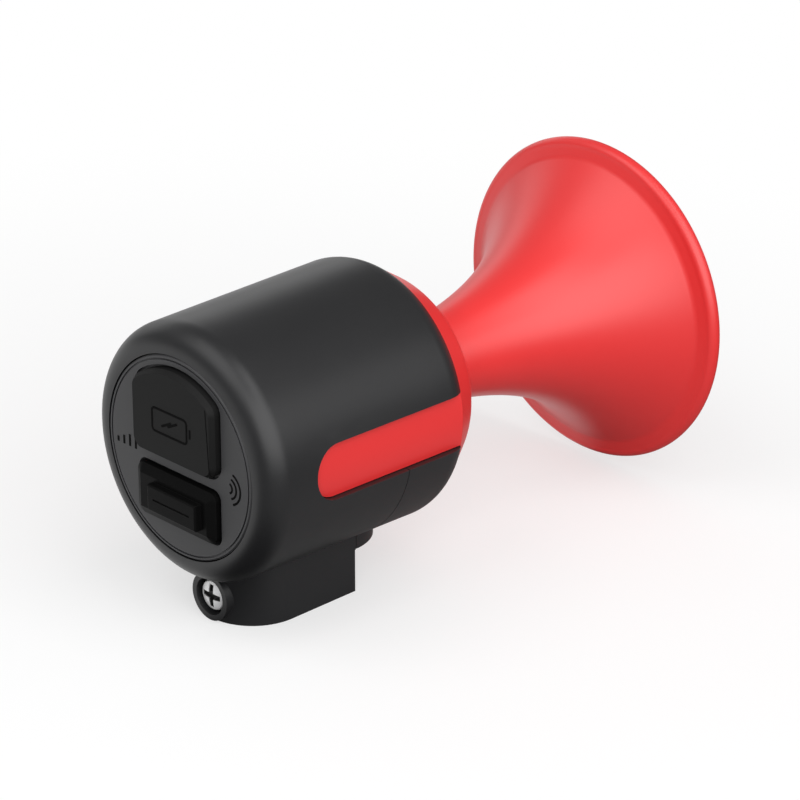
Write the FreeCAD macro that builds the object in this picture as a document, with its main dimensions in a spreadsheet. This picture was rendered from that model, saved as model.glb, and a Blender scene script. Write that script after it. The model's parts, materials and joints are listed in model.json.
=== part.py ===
import FreeCAD, Part
import math
import os
import types
import Sketcher

# Electronic bike horn: a black barrel that holds the battery, the board and the driver, a red horn
# in front, a rear cap with the charging cover and the key, and a clamp block below.
# Drawn on the horn's axis, with x = 0 at the rear face and +X forward, then moved so that the origin
# lies in the base face, under the centre of the clamp block's round rear end.

SIZES = {
    # Barrel
    "shell_rear_radius": 22.75,
    "shell_draft": 0.55,
    "shell_wall": 2.0,
    "shelf_set_back": 0.65,
    "rear_round": 4.5,
    "lip_width": 4.73,
    "lip_depth": 3.0,
    "front_round": 5.2,
    "front_reach": 2.9,
    "front_drop": 0.88,
    "slot_rear_centre": 15.0,
    "slot_height": 0.4,
    "slot_radius": 5.0,
    "seam_gap": 0.15,
    # Clamp block and pad
    "clamp_height": 8.7,
    "block_rear_centre": 15.9,
    "block_half_width": 9.5,
    "seam_set_back": 12.8,
    "jaw_relief": 0.2,
    "jaw_top_gap": 0.1,
    "pad_depth": 0.7,
    "block_wall": 1.8,
    "core_past_centre": 1.7,
    "boss_radius": 4.35,
    "boss_reach": 0.6,
    # Clamp screw
    "screw_radius": 1.5,
    "screw_shank_radius": 1.2,
    "screw_bore_radius": 1.65,
    "head_recess_depth": 2.2,
    "head_radius": 2.8,
    "head_height": 1.9,
    "head_recess_radius": 3.35,
    "screw_stickout": 5.0,
    "cross_length": 3.4,
    "cross_width": 0.75,
    "cross_depth": 1.1,
    # Inner body
    "skirt_gap": 0.2,
    "skirt_wall": 1.6,
    "cap_stop_gap": 0.1,
    "lug_recess": 1.1,
    "lug_gap": 0.15,
    "lug_root": 0.3,
    "nose_cone_length": 5.3,
    "nose_cone_drop": 3.3,
    "nose_round": 7.9,
    "nose_length": 8.9,
    "nose_face_drop": 6.6,
    "shelf_width": 1.75,
    "nose_cavity_round": 6.5,
    "nose_cavity_reach": 3.2,
    "nose_wall": 2.0,
    "socket_radius": 7.05,
    "socket_wall": 1.95,
    "socket_depth": 4.4,
    "bead_set_back": 7.2,
    "bead_height": 0.5,
    "bead_half_width": 0.8,
    "bead_gap": 0.1,
    # Horn
    "bell_wall": 1.8,
    "spigot_fit": 0.05,
    "collar_radius": 9.2,
    "collar_thickness": 0.7,
    "collar_round": 2.4,
    "neck_set_out": 3.0,
    "neck_radius": 7.24,
    "neck_length": 19.0,
    "bell_length": 47.04,
    "flare_rate": 18.4,
    "rim_radius": 28.85,
    "rim_foot_radius": 26.86,
    "rim_set_back": 1.93,
    "rim_lip_radius": 1.38,
    # End cap
    "cap_gap": 0.18,
    "cap_plate": 2.0,
    "cap_chamfer": 0.25,
    "cap_skirt_wall": 1.24,
    "cap_flange_play": 0.3,
    "cap_flange_thickness": 1.7,
    "cap_flange_gap": 0.3,
    "cap_groove_inset": 0.7,
    "cap_groove_width": 0.36,
    "cap_groove_depth": 0.35,
    "seal_section": 1.1,
    "seal_play": 0.05,
    "post_radius": 2.0,
    "post_inset": 3.2,
    "post_pilot_radius": 0.8,
    "post_pilot_depth": 5.0,
    # Charging cover
    "recess_half_width": 10.6,
    "recess_margin": 1.64,
    "recess_depth": 0.9,
    "recess_corner": 3.0,
    "cap_bar": 1.6,
    "cover_gap": 0.5,
    "cover_back_gap": 0.3,
    "cover_rise": 1.7,
    "cover_bevel_width": 0.9,
    "cover_bevel_depth": 0.6,
    "tether_half_height": 3.1,
    "tether_set_in": 0.2,
    "tether_thickness": 0.55,
    "tether_play": 0.05,
    "tether_barb": 0.35,
    "tether_reach": 1.3,
    # Charging port
    "port_rise": -0.05,
    "port_set_back": 0.4,
    "port_half_width": 4.47,
    "port_half_height": 1.63,
    "port_wall": 0.3,
    "port_depth": 5.5,
    "tongue_half_width": 2.95,
    "tongue_half_height": 0.35,
    "tongue_set_back": 1.0,
    "plug_side_gap": 0.52,
    "plug_top_gap": 0.28,
    "plug_corner": 0.8,
    "plug_depth": 1.3,
    "plug_wall": 0.4,
    "plug_slot_half_height": 0.48,
    "port_window_gap": 0.35,
    # Key
    "key_margin": 1.333,
    "key_window_half_width": 10.3,
    "key_window_half_height": 5.1,
    "key_window_corner": 1.8,
    "key_gap": 0.5,
    "key_rise": 1.6,
    "key_slope_width": 0.85,
    "key_slope_depth": 1.5,
    "key_flange_lap": 0.6,
    "key_flange_thickness": 0.8,
    "key_flange_corner": 3.0,
    "key_stop_gap": 0.3,
    "key_travel": 0.8,
    "bar_side": -1.0,
    "bar_half_width": 6.05,
    "bar_half_height": 2.35,
    "bar_rise": 1.4,
    "bar_round": 0.35,
    "bar_crease_half_width": 4.6,
    "bar_crease_width": 0.35,
    "bar_crease_depth": 0.25,
    "switch_clear": 1.9,
    "switch_height": 4.0,
    "switch_half_width": 3.0,
    "switch_bore_radius": 1.7,
    "switch_bore_depth": 2.0,
    "plunger_radius": 1.62,
    "plunger_gap": 0.05,
    "plunger_end_gap": 0.05,
    # Board
    "board_gap": 1.75,
    "board_thickness": 1.2,
    "board_hole_radius": 1.0,
    "board_screw_head_radius": 1.75,
    "board_screw_head_height": 1.1,
    "board_screw_radius": 0.78,
    "board_screw_length": 5.4,
    "coil_radius": 3.6,
    "coil_core_radius": 1.5,
    "coil_height": 4.0,
    "coil_flange": 0.7,
    "coil_inset": 5.4,
    "chip_half_width": 3.0,
    "chip_height": 1.2,
    "chip_side": -6.0,
    "chip_inset": 6.4,
    "capacitor_radius": 3.15,
    "capacitor_height": 5.0,
    "capacitor_side": 6.2,
    "capacitor_inset": 5.0,
    # Battery
    "cell_radius": 8.0,
    "cell_gap": 0.6,
    "cell_nub_radius": 3.0,
    "cell_nub_length": 0.8,
    "foam_half_width": 9.0,
    "foam_half_height": 5.0,
    "foam_thickness": 2.2,
    "foam_gap": 0.1,
    "cradle_back_gap": 0.4,
    "cradle_plate": 1.2,
    "cradle_gap": 0.2,
    "cradle_hole_radius": 6.0,
    "cradle_rib_place": 11.0,
    "cradle_rib_thickness": 2.0,
    "cradle_rib_past_middle": 1.4,
    "cradle_rib_gap": 1.6,
    "cradle_cell_gap": 0.1,
    # Driver
    "cradle_driver_gap": 0.2,
    "driver_depth": 11.8,
    "driver_flange_thickness": 1.2,
    "driver_gap": 0.2,
    "land_width": 2.15,
    "basket_fit": 0.3,
    "basket_lap": 1.0,
    "basket_wall": 1.0,
    "yoke_length": 6.6,
    "yoke_wall": 1.5,
    "coil_outer_gap": 0.5,
    "magnet_inset": 0.3,
    "magnet_thickness": 3.2,
    "pole_radius": 8.6,
    "pole_thickness": 1.6,
    "stack_gap": 0.05,
    "voice_gap": 0.35,
    "coil_tube_wall": 0.45,
    "coil_tube_set_in": 3.2,
    "diaphragm_sheet": 0.35,
    "dome_rise": 2.0,
    "dome_drop": 2.2,
    "surround_inset": 0.2,
    "gasket_thickness": 0.35,
    "gasket_set_out": 0.1,
    "gasket_play": 0.05,
    # Lower cover screws
    "cover_screw_set_out": 4.7,
    "cover_screw_side": 5.0,
    "cover_screw_radius": 0.9,
    "cover_screw_head_radius": 1.7,
    "cover_screw_head_height": 0.9,
    "cover_screw_sink": 0.05,
    "cover_screw_length": 4.2,
    "cover_screw_play": 0.03,
    "cover_screw_tip_gap": 0.3,
}


class Size:
    """A number that carries its formula, so that sketches and features can be bound to the sheet."""

    def __init__(self, value, text):
        self.value = value
        self.text = text

    @staticmethod
    def of(other):
        if isinstance(other, Size):
            return other
        return Size(float(other), str(float(other)))

    def __add__(self, other):
        other = Size.of(other)
        return Size(self.value + other.value, f"({self.text} + {other.text})")

    def __radd__(self, other):
        return Size.of(other) + self

    def __sub__(self, other):
        other = Size.of(other)
        return Size(self.value - other.value, f"({self.text} - {other.text})")

    def __rsub__(self, other):
        return Size.of(other) - self

    def __mul__(self, other):
        other = Size.of(other)
        return Size(self.value * other.value, f"({self.text} * {other.text})")

    def __rmul__(self, other):
        return Size.of(other) * self

    def __truediv__(self, other):
        other = Size.of(other)
        return Size(self.value / other.value, f"({self.text} / {other.text})")

    def __neg__(self):
        return Size(-self.value, f"(-1 * {self.text})")


def root(size):
    return Size(math.sqrt(size.value), f"sqrt({size.text})")


doc = FreeCAD.newDocument("bike_horn")
sheet = doc.addObject("Spreadsheet::Sheet", "Sizes")
for row, (alias, number) in enumerate(SIZES.items(), 1):
    sheet.set(f"A{row}", alias)
    sheet.set(f"B{row}", str(number))
    sheet.setAlias(f"B{row}", alias)
doc.recompute()
S = types.SimpleNamespace(**{alias: Size(number, f"Sizes.{alias}") for alias, number in SIZES.items()})
ZERO = Size(0.0, "0")
FAR = 200.0
SUB_PARTS = []


# Radii, from the barrel's skin inwards

S.shell_front_radius = S.shell_rear_radius + S.shell_draft
bore_radius = S.shell_rear_radius - S.shell_wall
skirt_outer = bore_radius - S.skirt_gap
skirt_inner = skirt_outer - S.skirt_wall
S.rear_opening_radius = S.shell_rear_radius - S.lip_width
cap_rim = S.rear_opening_radius - S.cap_gap
cap_flange = bore_radius - S.cap_flange_gap
S.cap_skirt_radius = cap_rim - S.cap_skirt_wall
S.cap_groove_radius = cap_rim - S.cap_groove_inset
S.seal_radius = (S.rear_opening_radius + cap_flange) / 2
S.board_radius = skirt_inner - S.board_gap
S.driver_radius = skirt_inner - S.driver_gap
S.driver_land_radius = S.driver_radius - S.land_width
S.surround_radius = S.driver_land_radius - S.surround_inset
S.nose_cavity_radius = skirt_inner - S.shelf_width
S.gasket_inner_radius = S.nose_cavity_radius + S.gasket_set_out
S.coil_tube_inner = S.pole_radius + S.voice_gap
S.coil_tube_outer = S.coil_tube_inner + S.coil_tube_wall
S.dome_radius = S.coil_tube_outer
S.yoke_radius = S.coil_tube_outer + S.coil_outer_gap + S.yoke_wall
S.basket_radius = S.yoke_radius + S.basket_fit
S.magnet_radius = S.pole_radius - S.magnet_inset
nose_start_radius = S.shell_front_radius - S.lug_recess
S.nose_cone_radius = nose_start_radius - S.nose_cone_drop
S.nose_face_radius = S.nose_cone_radius - S.nose_face_drop


# The stack along the axis, from the rear face forward

S.cap_flange_face = S.lip_depth + S.cap_flange_play
S.cap_flange_back = S.cap_flange_face + S.cap_flange_thickness
S.skirt_rear = S.cap_flange_back + S.cap_stop_gap
key_back = S.cap_plate + S.key_stop_gap
key_flange_back = key_back + S.key_flange_thickness
plunger_start = key_flange_back + S.plunger_gap
S.switch_face = key_flange_back + S.switch_clear
S.board_rear = S.switch_face + S.switch_height
S.plunger_length = (S.switch_face + S.switch_bore_depth - S.key_travel - S.plunger_end_gap
                    - plunger_start)
board_front = S.board_rear + S.board_thickness
foam_rear = board_front + S.foam_gap
S.cell_place = foam_rear + S.foam_thickness + S.foam_gap + S.cell_radius
S.cradle_face = S.cell_place + S.cell_radius + S.cradle_back_gap
S.cradle_rib_reach = S.cell_place + S.cradle_rib_past_middle
S.yoke_rear = S.cradle_face + S.cradle_plate + S.cradle_driver_gap
S.yoke_front = S.yoke_rear + S.yoke_length
S.basket_rear = S.yoke_front - S.basket_lap
S.coil_tube_rear = S.yoke_rear + S.coil_tube_set_in
S.driver_front = S.yoke_rear + S.driver_depth
S.dome_foot = S.driver_front - S.dome_drop
gasket_rear = S.driver_front + S.stack_gap + S.diaphragm_sheet + S.gasket_play
S.nose_shelf = gasket_rear + S.gasket_thickness + S.gasket_play
S.shell_length = S.nose_shelf + S.shelf_set_back
nose_start = S.shell_length + S.seam_gap
S.nose_cone_end = S.shell_length + S.nose_cone_length
S.nose_face = S.shell_length + S.nose_length
S.nose_cavity_bend = S.shell_length + S.nose_cavity_reach
S.socket_rear = S.nose_face - S.socket_depth
S.neck_start = S.nose_face + S.neck_set_out
S.rim_place = S.nose_face + S.bell_length
S.bead_place = S.shell_length - S.bead_set_back
bead_low = S.bead_place - S.bead_half_width
bead_high = S.bead_place + S.bead_half_width


# Block, pad and screws

S.axis_height = S.shell_front_radius + S.clamp_height
seam_face = S.shell_length - S.seam_set_back
S.jaw_face = seam_face - S.jaw_relief
S.pad_drop = S.shell_front_radius + S.pad_depth
S.core_depth = S.jaw_face - S.block_rear_centre + S.core_past_centre
S.boss_rear = S.block_rear_centre - S.block_half_width - S.boss_reach
S.screw_seat = S.boss_rear + S.head_recess_depth
screw_drop = S.axis_height - S.boss_radius
S.cover_screw_place = seam_face + S.cover_screw_set_out
S.cover_screw_top_drop = skirt_inner - S.cover_screw_sink
slot_low_edge = S.slot_height - S.slot_radius


# What lies on the cap's face, from the key up to the charging cover

key_corner_reach = cap_rim - S.key_margin
S.key_height = S.key_window_half_height - root(key_corner_reach * key_corner_reach
                                               - S.key_window_half_width * S.key_window_half_width)
S.recess_bottom = S.key_height + S.key_window_half_height + S.cap_bar
S.recess_top_radius = cap_rim - S.recess_margin
cover_back = S.recess_depth - S.cover_back_gap
S.port_height = (S.recess_bottom + S.recess_top_radius) / 2 + S.port_rise
S.port_mouth = S.cap_plate + S.port_set_back
S.tongue_front = S.port_mouth + S.tongue_set_back
S.plug_half_width = S.port_half_width - S.port_wall - S.plug_side_gap
S.plug_half_height = S.port_half_height - S.port_wall - S.plug_top_gap
S.plug_slot_half_width = S.plug_half_width - S.plug_wall
S.plug_tip = S.port_mouth + S.plug_depth
S.tether_low = S.port_height - S.tether_half_height
S.tether_high = S.port_height + S.tether_half_height
S.tether_inner = S.recess_half_width - S.tether_set_in
S.tether_outer = S.tether_inner + S.tether_thickness
S.tether_length = S.cap_plate + S.tether_reach


# What stands on the board and lies behind it

S.post_place = S.board_radius - S.post_inset
S.coil_drop = S.coil_inset - S.board_radius
S.chip_top = S.board_radius - S.chip_inset
S.capacitor_top = S.board_radius - S.capacitor_inset
cell_reach = skirt_inner - S.cell_gap
S.cell_half_length = root(cell_reach * cell_reach - S.cell_radius * S.cell_radius)
rib_side = S.cradle_rib_place + S.cradle_rib_thickness / 2
rib_reach = skirt_inner - S.cradle_rib_gap
S.cradle_rib_half_height = root(rib_reach * rib_reach - rib_side * rib_side)


# Sketches and features

X_AXIS = FreeCAD.Vector(1, 0, 0)
Z_AXIS = FreeCAD.Vector(0, 0, 1)


def bind(item, path, size):
    item.setExpression(path, Size.of(size).text)


def new_body(name):
    body = doc.addObject("PartDesign::Body", name)
    body.Label = name
    return body


def new_sketch(owner, plane, name, offset=None):
    """A sketch on one of the body's own planes, moved along the plane's normal by offset."""
    sketch = owner.newObject("Sketcher::SketchObject", name)
    feature = next(item for item in owner.Origin.OriginFeatures if item.Role == f"{plane}_Plane")
    sketch.AttachmentSupport = [(feature, "")]
    sketch.MapMode = "FlatFace"
    if offset is not None:
        bind(sketch, "AttachmentOffset.Base.z", offset)
    return sketch


def hold(sketch, kind, geometry, point, size):
    """Fix one coordinate of a point, or a radius when no point is given."""
    size = Size.of(size)
    if point is None:
        index = sketch.addConstraint(Sketcher.Constraint(kind, geometry, size.value))
    else:
        index = sketch.addConstraint(Sketcher.Constraint(kind, -1, 1, geometry, point, size.value))
    if "Sizes." in size.text:
        bind(sketch, f"Constraints[{index}]", size)


def arc_between(start, end, radius, turn):
    """The short arc of a radius from start to end, and the numbers of its first and last point."""
    dx = end[0] - start[0]
    dy = end[1] - start[1]
    chord = math.hypot(dx, dy)
    rise = turn * math.sqrt(max(radius ** 2 - chord ** 2 / 4, 0.0))
    centre = FreeCAD.Vector((start[0] + end[0]) / 2 - dy / chord * rise,
                            (start[1] + end[1]) / 2 + dx / chord * rise, 0)
    first, last = (start, end) if turn > 0 else (end, start)
    begin = math.atan2(first[1] - centre.y, first[0] - centre.x)
    finish = math.atan2(last[1] - centre.y, last[0] - centre.x)
    round_line = Part.Circle(centre, Z_AXIS, radius)
    return Part.ArcOfCircle(round_line, begin, finish), (1, 2) if turn > 0 else (2, 1)


def trace(sketch, corners):
    """A closed outline. A corner is (x, y), or (x, y, radius, turn) where an arc leads to it:
    turn is 1 for an anticlockwise arc and -1 for a clockwise one."""
    first = sketch.GeometryCount
    ends = []
    spots = [(Size.of(c[0]), Size.of(c[1])) for c in corners]
    for index, corner in enumerate(corners):
        start = (spots[index - 1][0].value, spots[index - 1][1].value)
        end = (spots[index][0].value, spots[index][1].value)
        if len(corner) == 4:
            curve, points = arc_between(start, end, Size.of(corner[2]).value, corner[3])
        else:
            curve = Part.LineSegment(FreeCAD.Vector(*start, 0), FreeCAD.Vector(*end, 0))
            points = (1, 2)
        sketch.addGeometry(curve, False)
        ends.append(points)
    count = len(corners)
    for index, corner in enumerate(corners):
        following = (index + 1) % count
        sketch.addConstraint(Sketcher.Constraint("Coincident", first + index, ends[index][1],
                                                 first + following, ends[following][0]))
        hold(sketch, "DistanceX", first + index, ends[index][1], spots[index][0])
        hold(sketch, "DistanceY", first + index, ends[index][1], spots[index][1])
        if len(corner) == 4:
            hold(sketch, "Radius", first + index, None, corner[2])


def circle(sketch, x, y, radius):
    place = FreeCAD.Vector(Size.of(x).value, Size.of(y).value, 0)
    index = sketch.addGeometry(Part.Circle(place, Z_AXIS, Size.of(radius).value), False)
    hold(sketch, "DistanceX", index, 3, x)
    hold(sketch, "DistanceY", index, 3, y)
    hold(sketch, "Radius", index, None, radius)


def rectangle(sketch, x, y, half_width, half_height):
    x = Size.of(x)
    y = Size.of(y)
    trace(sketch, [(x - half_width, y - half_height), (x + half_width, y - half_height),
                   (x + half_width, y + half_height), (x - half_width, y + half_height)])


def rounded_rectangle(sketch, x, y, half_width, half_height, corner):
    x = Size.of(x)
    y = Size.of(y)
    trace(sketch, [
        (x + half_width - corner, y - half_height),
        (x + half_width, y - half_height + corner, corner, 1),
        (x + half_width, y + half_height - corner),
        (x + half_width - corner, y + half_height, corner, 1),
        (x - half_width + corner, y + half_height),
        (x - half_width, y + half_height - corner, corner, 1),
        (x - half_width, y - half_height + corner),
        (x - half_width + corner, y - half_height, corner, 1),
    ])


def u_outline(sketch, centre, height, radius, end, side=-1):
    """A U: a half circle about (centre, height), on the low-x side where side is -1, with straight
    legs to x = end."""
    c, h, r, e = (Size.of(item) for item in (centre, height, radius, end))
    spin = math.pi / 2 if side < 0 else -math.pi / 2
    round_line = Part.Circle(FreeCAD.Vector(c.value, h.value, 0), Z_AXIS, r.value)
    arc = sketch.addGeometry(Part.ArcOfCircle(round_line, spin, spin + math.pi), False)
    begin = FreeCAD.Vector(c.value, h.value - side * r.value, 0)
    finish = FreeCAD.Vector(c.value, h.value + side * r.value, 0)
    far_begin = FreeCAD.Vector(e.value, begin.y, 0)
    far_finish = FreeCAD.Vector(e.value, finish.y, 0)
    first_leg = sketch.addGeometry(Part.LineSegment(begin, far_begin), False)
    close = sketch.addGeometry(Part.LineSegment(far_begin, far_finish), False)
    second_leg = sketch.addGeometry(Part.LineSegment(far_finish, finish), False)
    joints = [(arc, 1, first_leg, 1), (first_leg, 2, close, 1), (close, 2, second_leg, 1),
              (second_leg, 2, arc, 2)]
    for a, a_end, b, b_end in joints:
        sketch.addConstraint(Sketcher.Constraint("Coincident", a, a_end, b, b_end))
    for leg in (first_leg, second_leg):
        sketch.addConstraint(Sketcher.Constraint("Horizontal", leg))
    hold(sketch, "DistanceX", arc, 3, c)
    hold(sketch, "DistanceY", arc, 3, h)
    hold(sketch, "Radius", arc, None, r)
    hold(sketch, "DistanceX", arc, 1, c)
    hold(sketch, "DistanceX", arc, 2, c)
    hold(sketch, "DistanceX", first_leg, 2, e)
    hold(sketch, "DistanceX", second_leg, 1, e)


def check_change(feature, before, grows):
    doc.recompute()
    after = feature.Shape.Volume
    if (after - before if grows else before - after) < 1e-6:
        raise RuntimeError(f"{feature.Name} changes nothing")


def volume_of(owner):
    tip = owner.Tip
    if tip is None or tip.Shape.isNull():
        return 0.0
    return tip.Shape.Volume


def revolve(owner, sketch, cut=False):
    """Turn a sketch about the horn's axis, as material or as a groove."""
    doc.recompute()
    before = volume_of(owner)
    kind = "Groove" if cut else "Revolution"
    feature = owner.newObject(f"PartDesign::{kind}", f"{sketch.Name}_turned")
    feature.Profile = sketch
    feature.ReferenceAxis = (sketch, ["H_Axis"])
    feature.Angle = 360
    check_change(feature, before, not cut)
    return feature


def extrude(owner, sketch, length, forward=True, cut=False):
    """Pad or pocket along the sketch's normal, or against it where forward is false."""
    doc.recompute()
    before = volume_of(owner)
    kind = "Pocket" if cut else "Pad"
    feature = owner.newObject(f"PartDesign::{kind}", f"{sketch.Name}_{kind.lower()}")
    feature.Profile = sketch
    feature.Reversed = forward if cut else not forward
    bind(feature, "Length", length)
    check_change(feature, before, not cut)
    return feature


def cut_both_ways(owner, sketch):
    """Cut right through the body on both sides of the sketch's plane."""
    doc.recompute()
    before = volume_of(owner)
    feature = owner.newObject("PartDesign::Pocket", f"{sketch.Name}_through")
    feature.Profile = sketch
    feature.Midplane = True
    feature.Length = 2 * FAR
    check_change(feature, before, False)
    return feature


def pick_edges(feature, test):
    return [f"Edge{number}" for number, edge in enumerate(feature.Shape.Edges, 1) if test(edge)]


def runs_along(edge, direction):
    if not isinstance(edge.Curve, Part.Line):
        return False
    return abs(abs(edge.tangentAt(edge.FirstParameter).dot(direction)) - 1) < 1e-6


def round_edges(owner, name, radius, test):
    base = owner.Tip
    feature = owner.newObject("PartDesign::Fillet", name)
    feature.Base = (base, pick_edges(base, test))
    bind(feature, "Radius", radius)
    doc.recompute()
    return feature


def bevel_edges(owner, name, width, depth, test):
    """A bevel that takes width off the face picked by its edges and depth off the walls beside it."""
    base = owner.Tip
    feature = owner.newObject("PartDesign::Chamfer", name)
    feature.Base = (base, pick_edges(base, test))
    feature.ChamferType = "Two distances"
    feature.FlipDirection = False
    bind(feature, "Size", width)
    bind(feature, "Size2", depth)
    doc.recompute()
    return feature


def in_plane_x(edge, x):
    box = edge.BoundBox
    return abs(box.XMin - x.value) < 1e-4 and abs(box.XMax - x.value) < 1e-4


def place(item, name, forward=ZERO, up=ZERO, side=ZERO):
    """Put a finished sub-part in the part's own frame."""
    item.Label = name
    bind(item, "Placement.Base.x", forward - S.block_rear_centre)
    bind(item, "Placement.Base.y", side)
    bind(item, "Placement.Base.z", up + S.axis_height)
    SUB_PARTS.append((name, item))


def fuse(name, items):
    joined = doc.addObject("Part::MultiFuse", name)
    joined.Shapes = items
    joined.Refine = True
    return joined


# Barrel

def barrel(owner):
    """The solid outline of the barrel: round rear edge, a little draft, rounded front edge."""
    profile = new_sketch(owner, "XZ", f"{owner.Name}_barrel")
    trace(profile, [
        (0, 0),
        (0, S.shell_rear_radius - S.rear_round),
        (S.rear_round, S.shell_rear_radius, S.rear_round, -1),
        (S.shell_length - S.front_reach, S.shell_front_radius),
        (S.shell_length, S.shell_front_radius - S.front_drop, S.front_round, -1),
        (S.shell_length, 0),
    ])
    revolve(owner, profile)


def hollow_barrel(owner):
    """The bore, with the groove that the inner body's bead snaps into."""
    profile = new_sketch(owner, "XZ", f"{owner.Name}_bore")
    trace(profile, [
        (S.lip_depth, 0),
        (S.lip_depth, bore_radius),
        (bead_low - S.bead_gap, bore_radius),
        (S.bead_place, skirt_outer + S.bead_height + S.bead_gap),
        (bead_high + S.bead_gap, bore_radius),
        (S.shell_length + 1, bore_radius),
        (S.shell_length + 1, 0),
    ])
    revolve(owner, profile, cut=True)


def main_shell():
    body = new_body("main_shell")
    barrel(body)
    base_height = bore_radius - S.block_wall
    block = new_sketch(body, "XY", "shell_block", -S.axis_height)
    u_outline(block, S.block_rear_centre, 0, S.block_half_width, seam_face)
    extrude(body, block, S.axis_height - base_height)
    boss = new_sketch(body, "YZ", "shell_boss", S.boss_rear)
    circle(boss, 0, -screw_drop, S.boss_radius)
    extrude(body, boss, S.block_rear_centre - S.boss_rear)
    hollow_barrel(body)
    opening = new_sketch(body, "YZ", "shell_opening")
    circle(opening, 0, 0, S.rear_opening_radius)
    extrude(body, opening, 2 * S.lip_depth, cut=True)
    slots = new_sketch(body, "XZ", "shell_slots")
    u_outline(slots, S.slot_rear_centre, S.slot_height, S.slot_radius, S.shell_length + 1)
    cut_both_ways(body, slots)
    step = new_sketch(body, "XZ", "shell_front_step")
    jaw_top = -S.pad_drop - S.jaw_top_gap
    trace(step, [
        (seam_face, slot_low_edge + 1),
        (seam_face, jaw_top),
        (S.jaw_face, jaw_top),
        (S.jaw_face, -S.axis_height - 1),
        (S.shell_length + 1, -S.axis_height - 1),
        (S.shell_length + 1, slot_low_edge + 1),
    ])
    cut_both_ways(body, step)
    core = new_sketch(body, "YZ", "block_cores", S.jaw_face)
    core_inner = S.screw_bore_radius + S.block_wall
    core_outer = S.block_half_width - S.block_wall
    core_middle = (core_inner + core_outer) / 2
    core_half_width = (core_outer - core_inner) / 2
    core_low = S.axis_height - S.block_wall
    core_high = S.pad_drop + S.jaw_top_gap + S.block_wall
    for side in (1, -1):
        rectangle(core, side * core_middle, -(core_low + core_high) / 2,
                  core_half_width, (core_low - core_high) / 2)
    extrude(body, core, S.core_depth, forward=False, cut=True)
    recess = new_sketch(body, "YZ", "head_recess", S.boss_rear)
    circle(recess, 0, -screw_drop, S.head_recess_radius)
    extrude(body, recess, S.screw_seat - S.boss_rear, cut=True)
    hole = new_sketch(body, "YZ", "screw_bore", S.screw_seat)
    circle(hole, 0, -screw_drop, S.screw_bore_radius)
    extrude(body, hole, S.jaw_face - S.screw_seat + 1, cut=True)
    place(body, "main_shell")


def front_lower_cover():
    body = new_body("front_lower_cover")
    barrel(body)
    pad_outline = new_sketch(body, "XY", "cover_pad", -S.pad_drop)
    u_outline(pad_outline, seam_face, 0, S.block_half_width, S.block_rear_centre, side=1)
    extrude(body, pad_outline, S.pad_drop - bore_radius + S.block_wall)
    hollow_barrel(body)
    keep_off = new_sketch(body, "XZ", "cover_trim")
    trace(keep_off, [
        (-1, -FAR),
        (seam_face + S.seam_gap, -FAR),
        (seam_face + S.seam_gap, slot_low_edge),
        (S.shell_length + 1, slot_low_edge),
        (S.shell_length + 1, FAR),
        (-1, FAR),
    ])
    cut_both_ways(body, keep_off)
    pilot_top = skirt_inner + S.skirt_gap
    pilots = new_sketch(body, "XY", "cover_pilots", -pilot_top)
    for side in (1, -1):
        circle(pilots, S.cover_screw_place, side * S.cover_screw_side,
               S.cover_screw_radius + S.cover_screw_play)
    pilot_end = S.cover_screw_top_drop + S.cover_screw_length + S.cover_screw_tip_gap
    extrude(body, pilots, pilot_end - pilot_top, forward=False, cut=True)
    place(body, "front_lower_cover")


def inner_body():
    """Nose and skirt in one turned form, with a raised panel in each slot of the shell."""
    body = new_body("nose_and_skirt")
    profile = new_sketch(body, "XZ", "nose_profile")
    cavity_front = S.nose_face - S.nose_wall
    trace(profile, [
        (S.skirt_rear, skirt_inner),
        (S.skirt_rear, skirt_outer),
        (bead_low, skirt_outer),
        (S.bead_place, skirt_outer + S.bead_height),
        (bead_high, skirt_outer),
        (nose_start, skirt_outer),
        (nose_start, nose_start_radius),
        (S.nose_cone_end, S.nose_cone_radius),
        (S.nose_face, S.nose_face_radius, S.nose_round, -1),
        (S.nose_face, S.socket_radius),
        (S.socket_rear, S.socket_radius),
        (S.socket_rear, S.socket_radius + S.socket_wall),
        (cavity_front, S.socket_radius + S.socket_wall),
        (cavity_front, S.nose_face_radius),
        (S.nose_cavity_bend, S.nose_cavity_radius, S.nose_cavity_round, 1),
        (S.nose_shelf, S.nose_cavity_radius),
        (S.nose_shelf, skirt_inner),
    ])
    revolve(body, profile)
    ring = new_body("panel_ring")
    ring_profile = new_sketch(ring, "XZ", "panel_ring_profile")
    ring_rear = S.slot_rear_centre - S.slot_radius
    trace(ring_profile, [
        (ring_rear, skirt_outer - S.lug_root),
        (ring_rear, S.shell_rear_radius - S.lug_recess),
        (nose_start, nose_start_radius),
        (nose_start, skirt_outer - S.lug_root),
    ])
    revolve(ring, ring_profile)
    prism = new_body("panel_outline")
    prism_sketch = new_sketch(prism, "XZ", "panel_sketch")
    u_outline(prism_sketch, S.slot_rear_centre, S.slot_height, S.slot_radius - S.lug_gap, nose_start)
    pad = prism.newObject("PartDesign::Pad", "panel_prism")
    pad.Profile = prism_sketch
    pad.Midplane = True
    pad.Length = 2 * FAR
    panels = doc.addObject("Part::MultiCommon", "side_panels")
    panels.Shapes = [ring, prism]
    whole = fuse("inner_body_blank", [body, panels])
    pierced = doc.addObject("Part::Cut", "inner_body")
    pierced.Base = whole
    pierced.Tool = countersink_tools()
    place(pierced, "inner_body")


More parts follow.
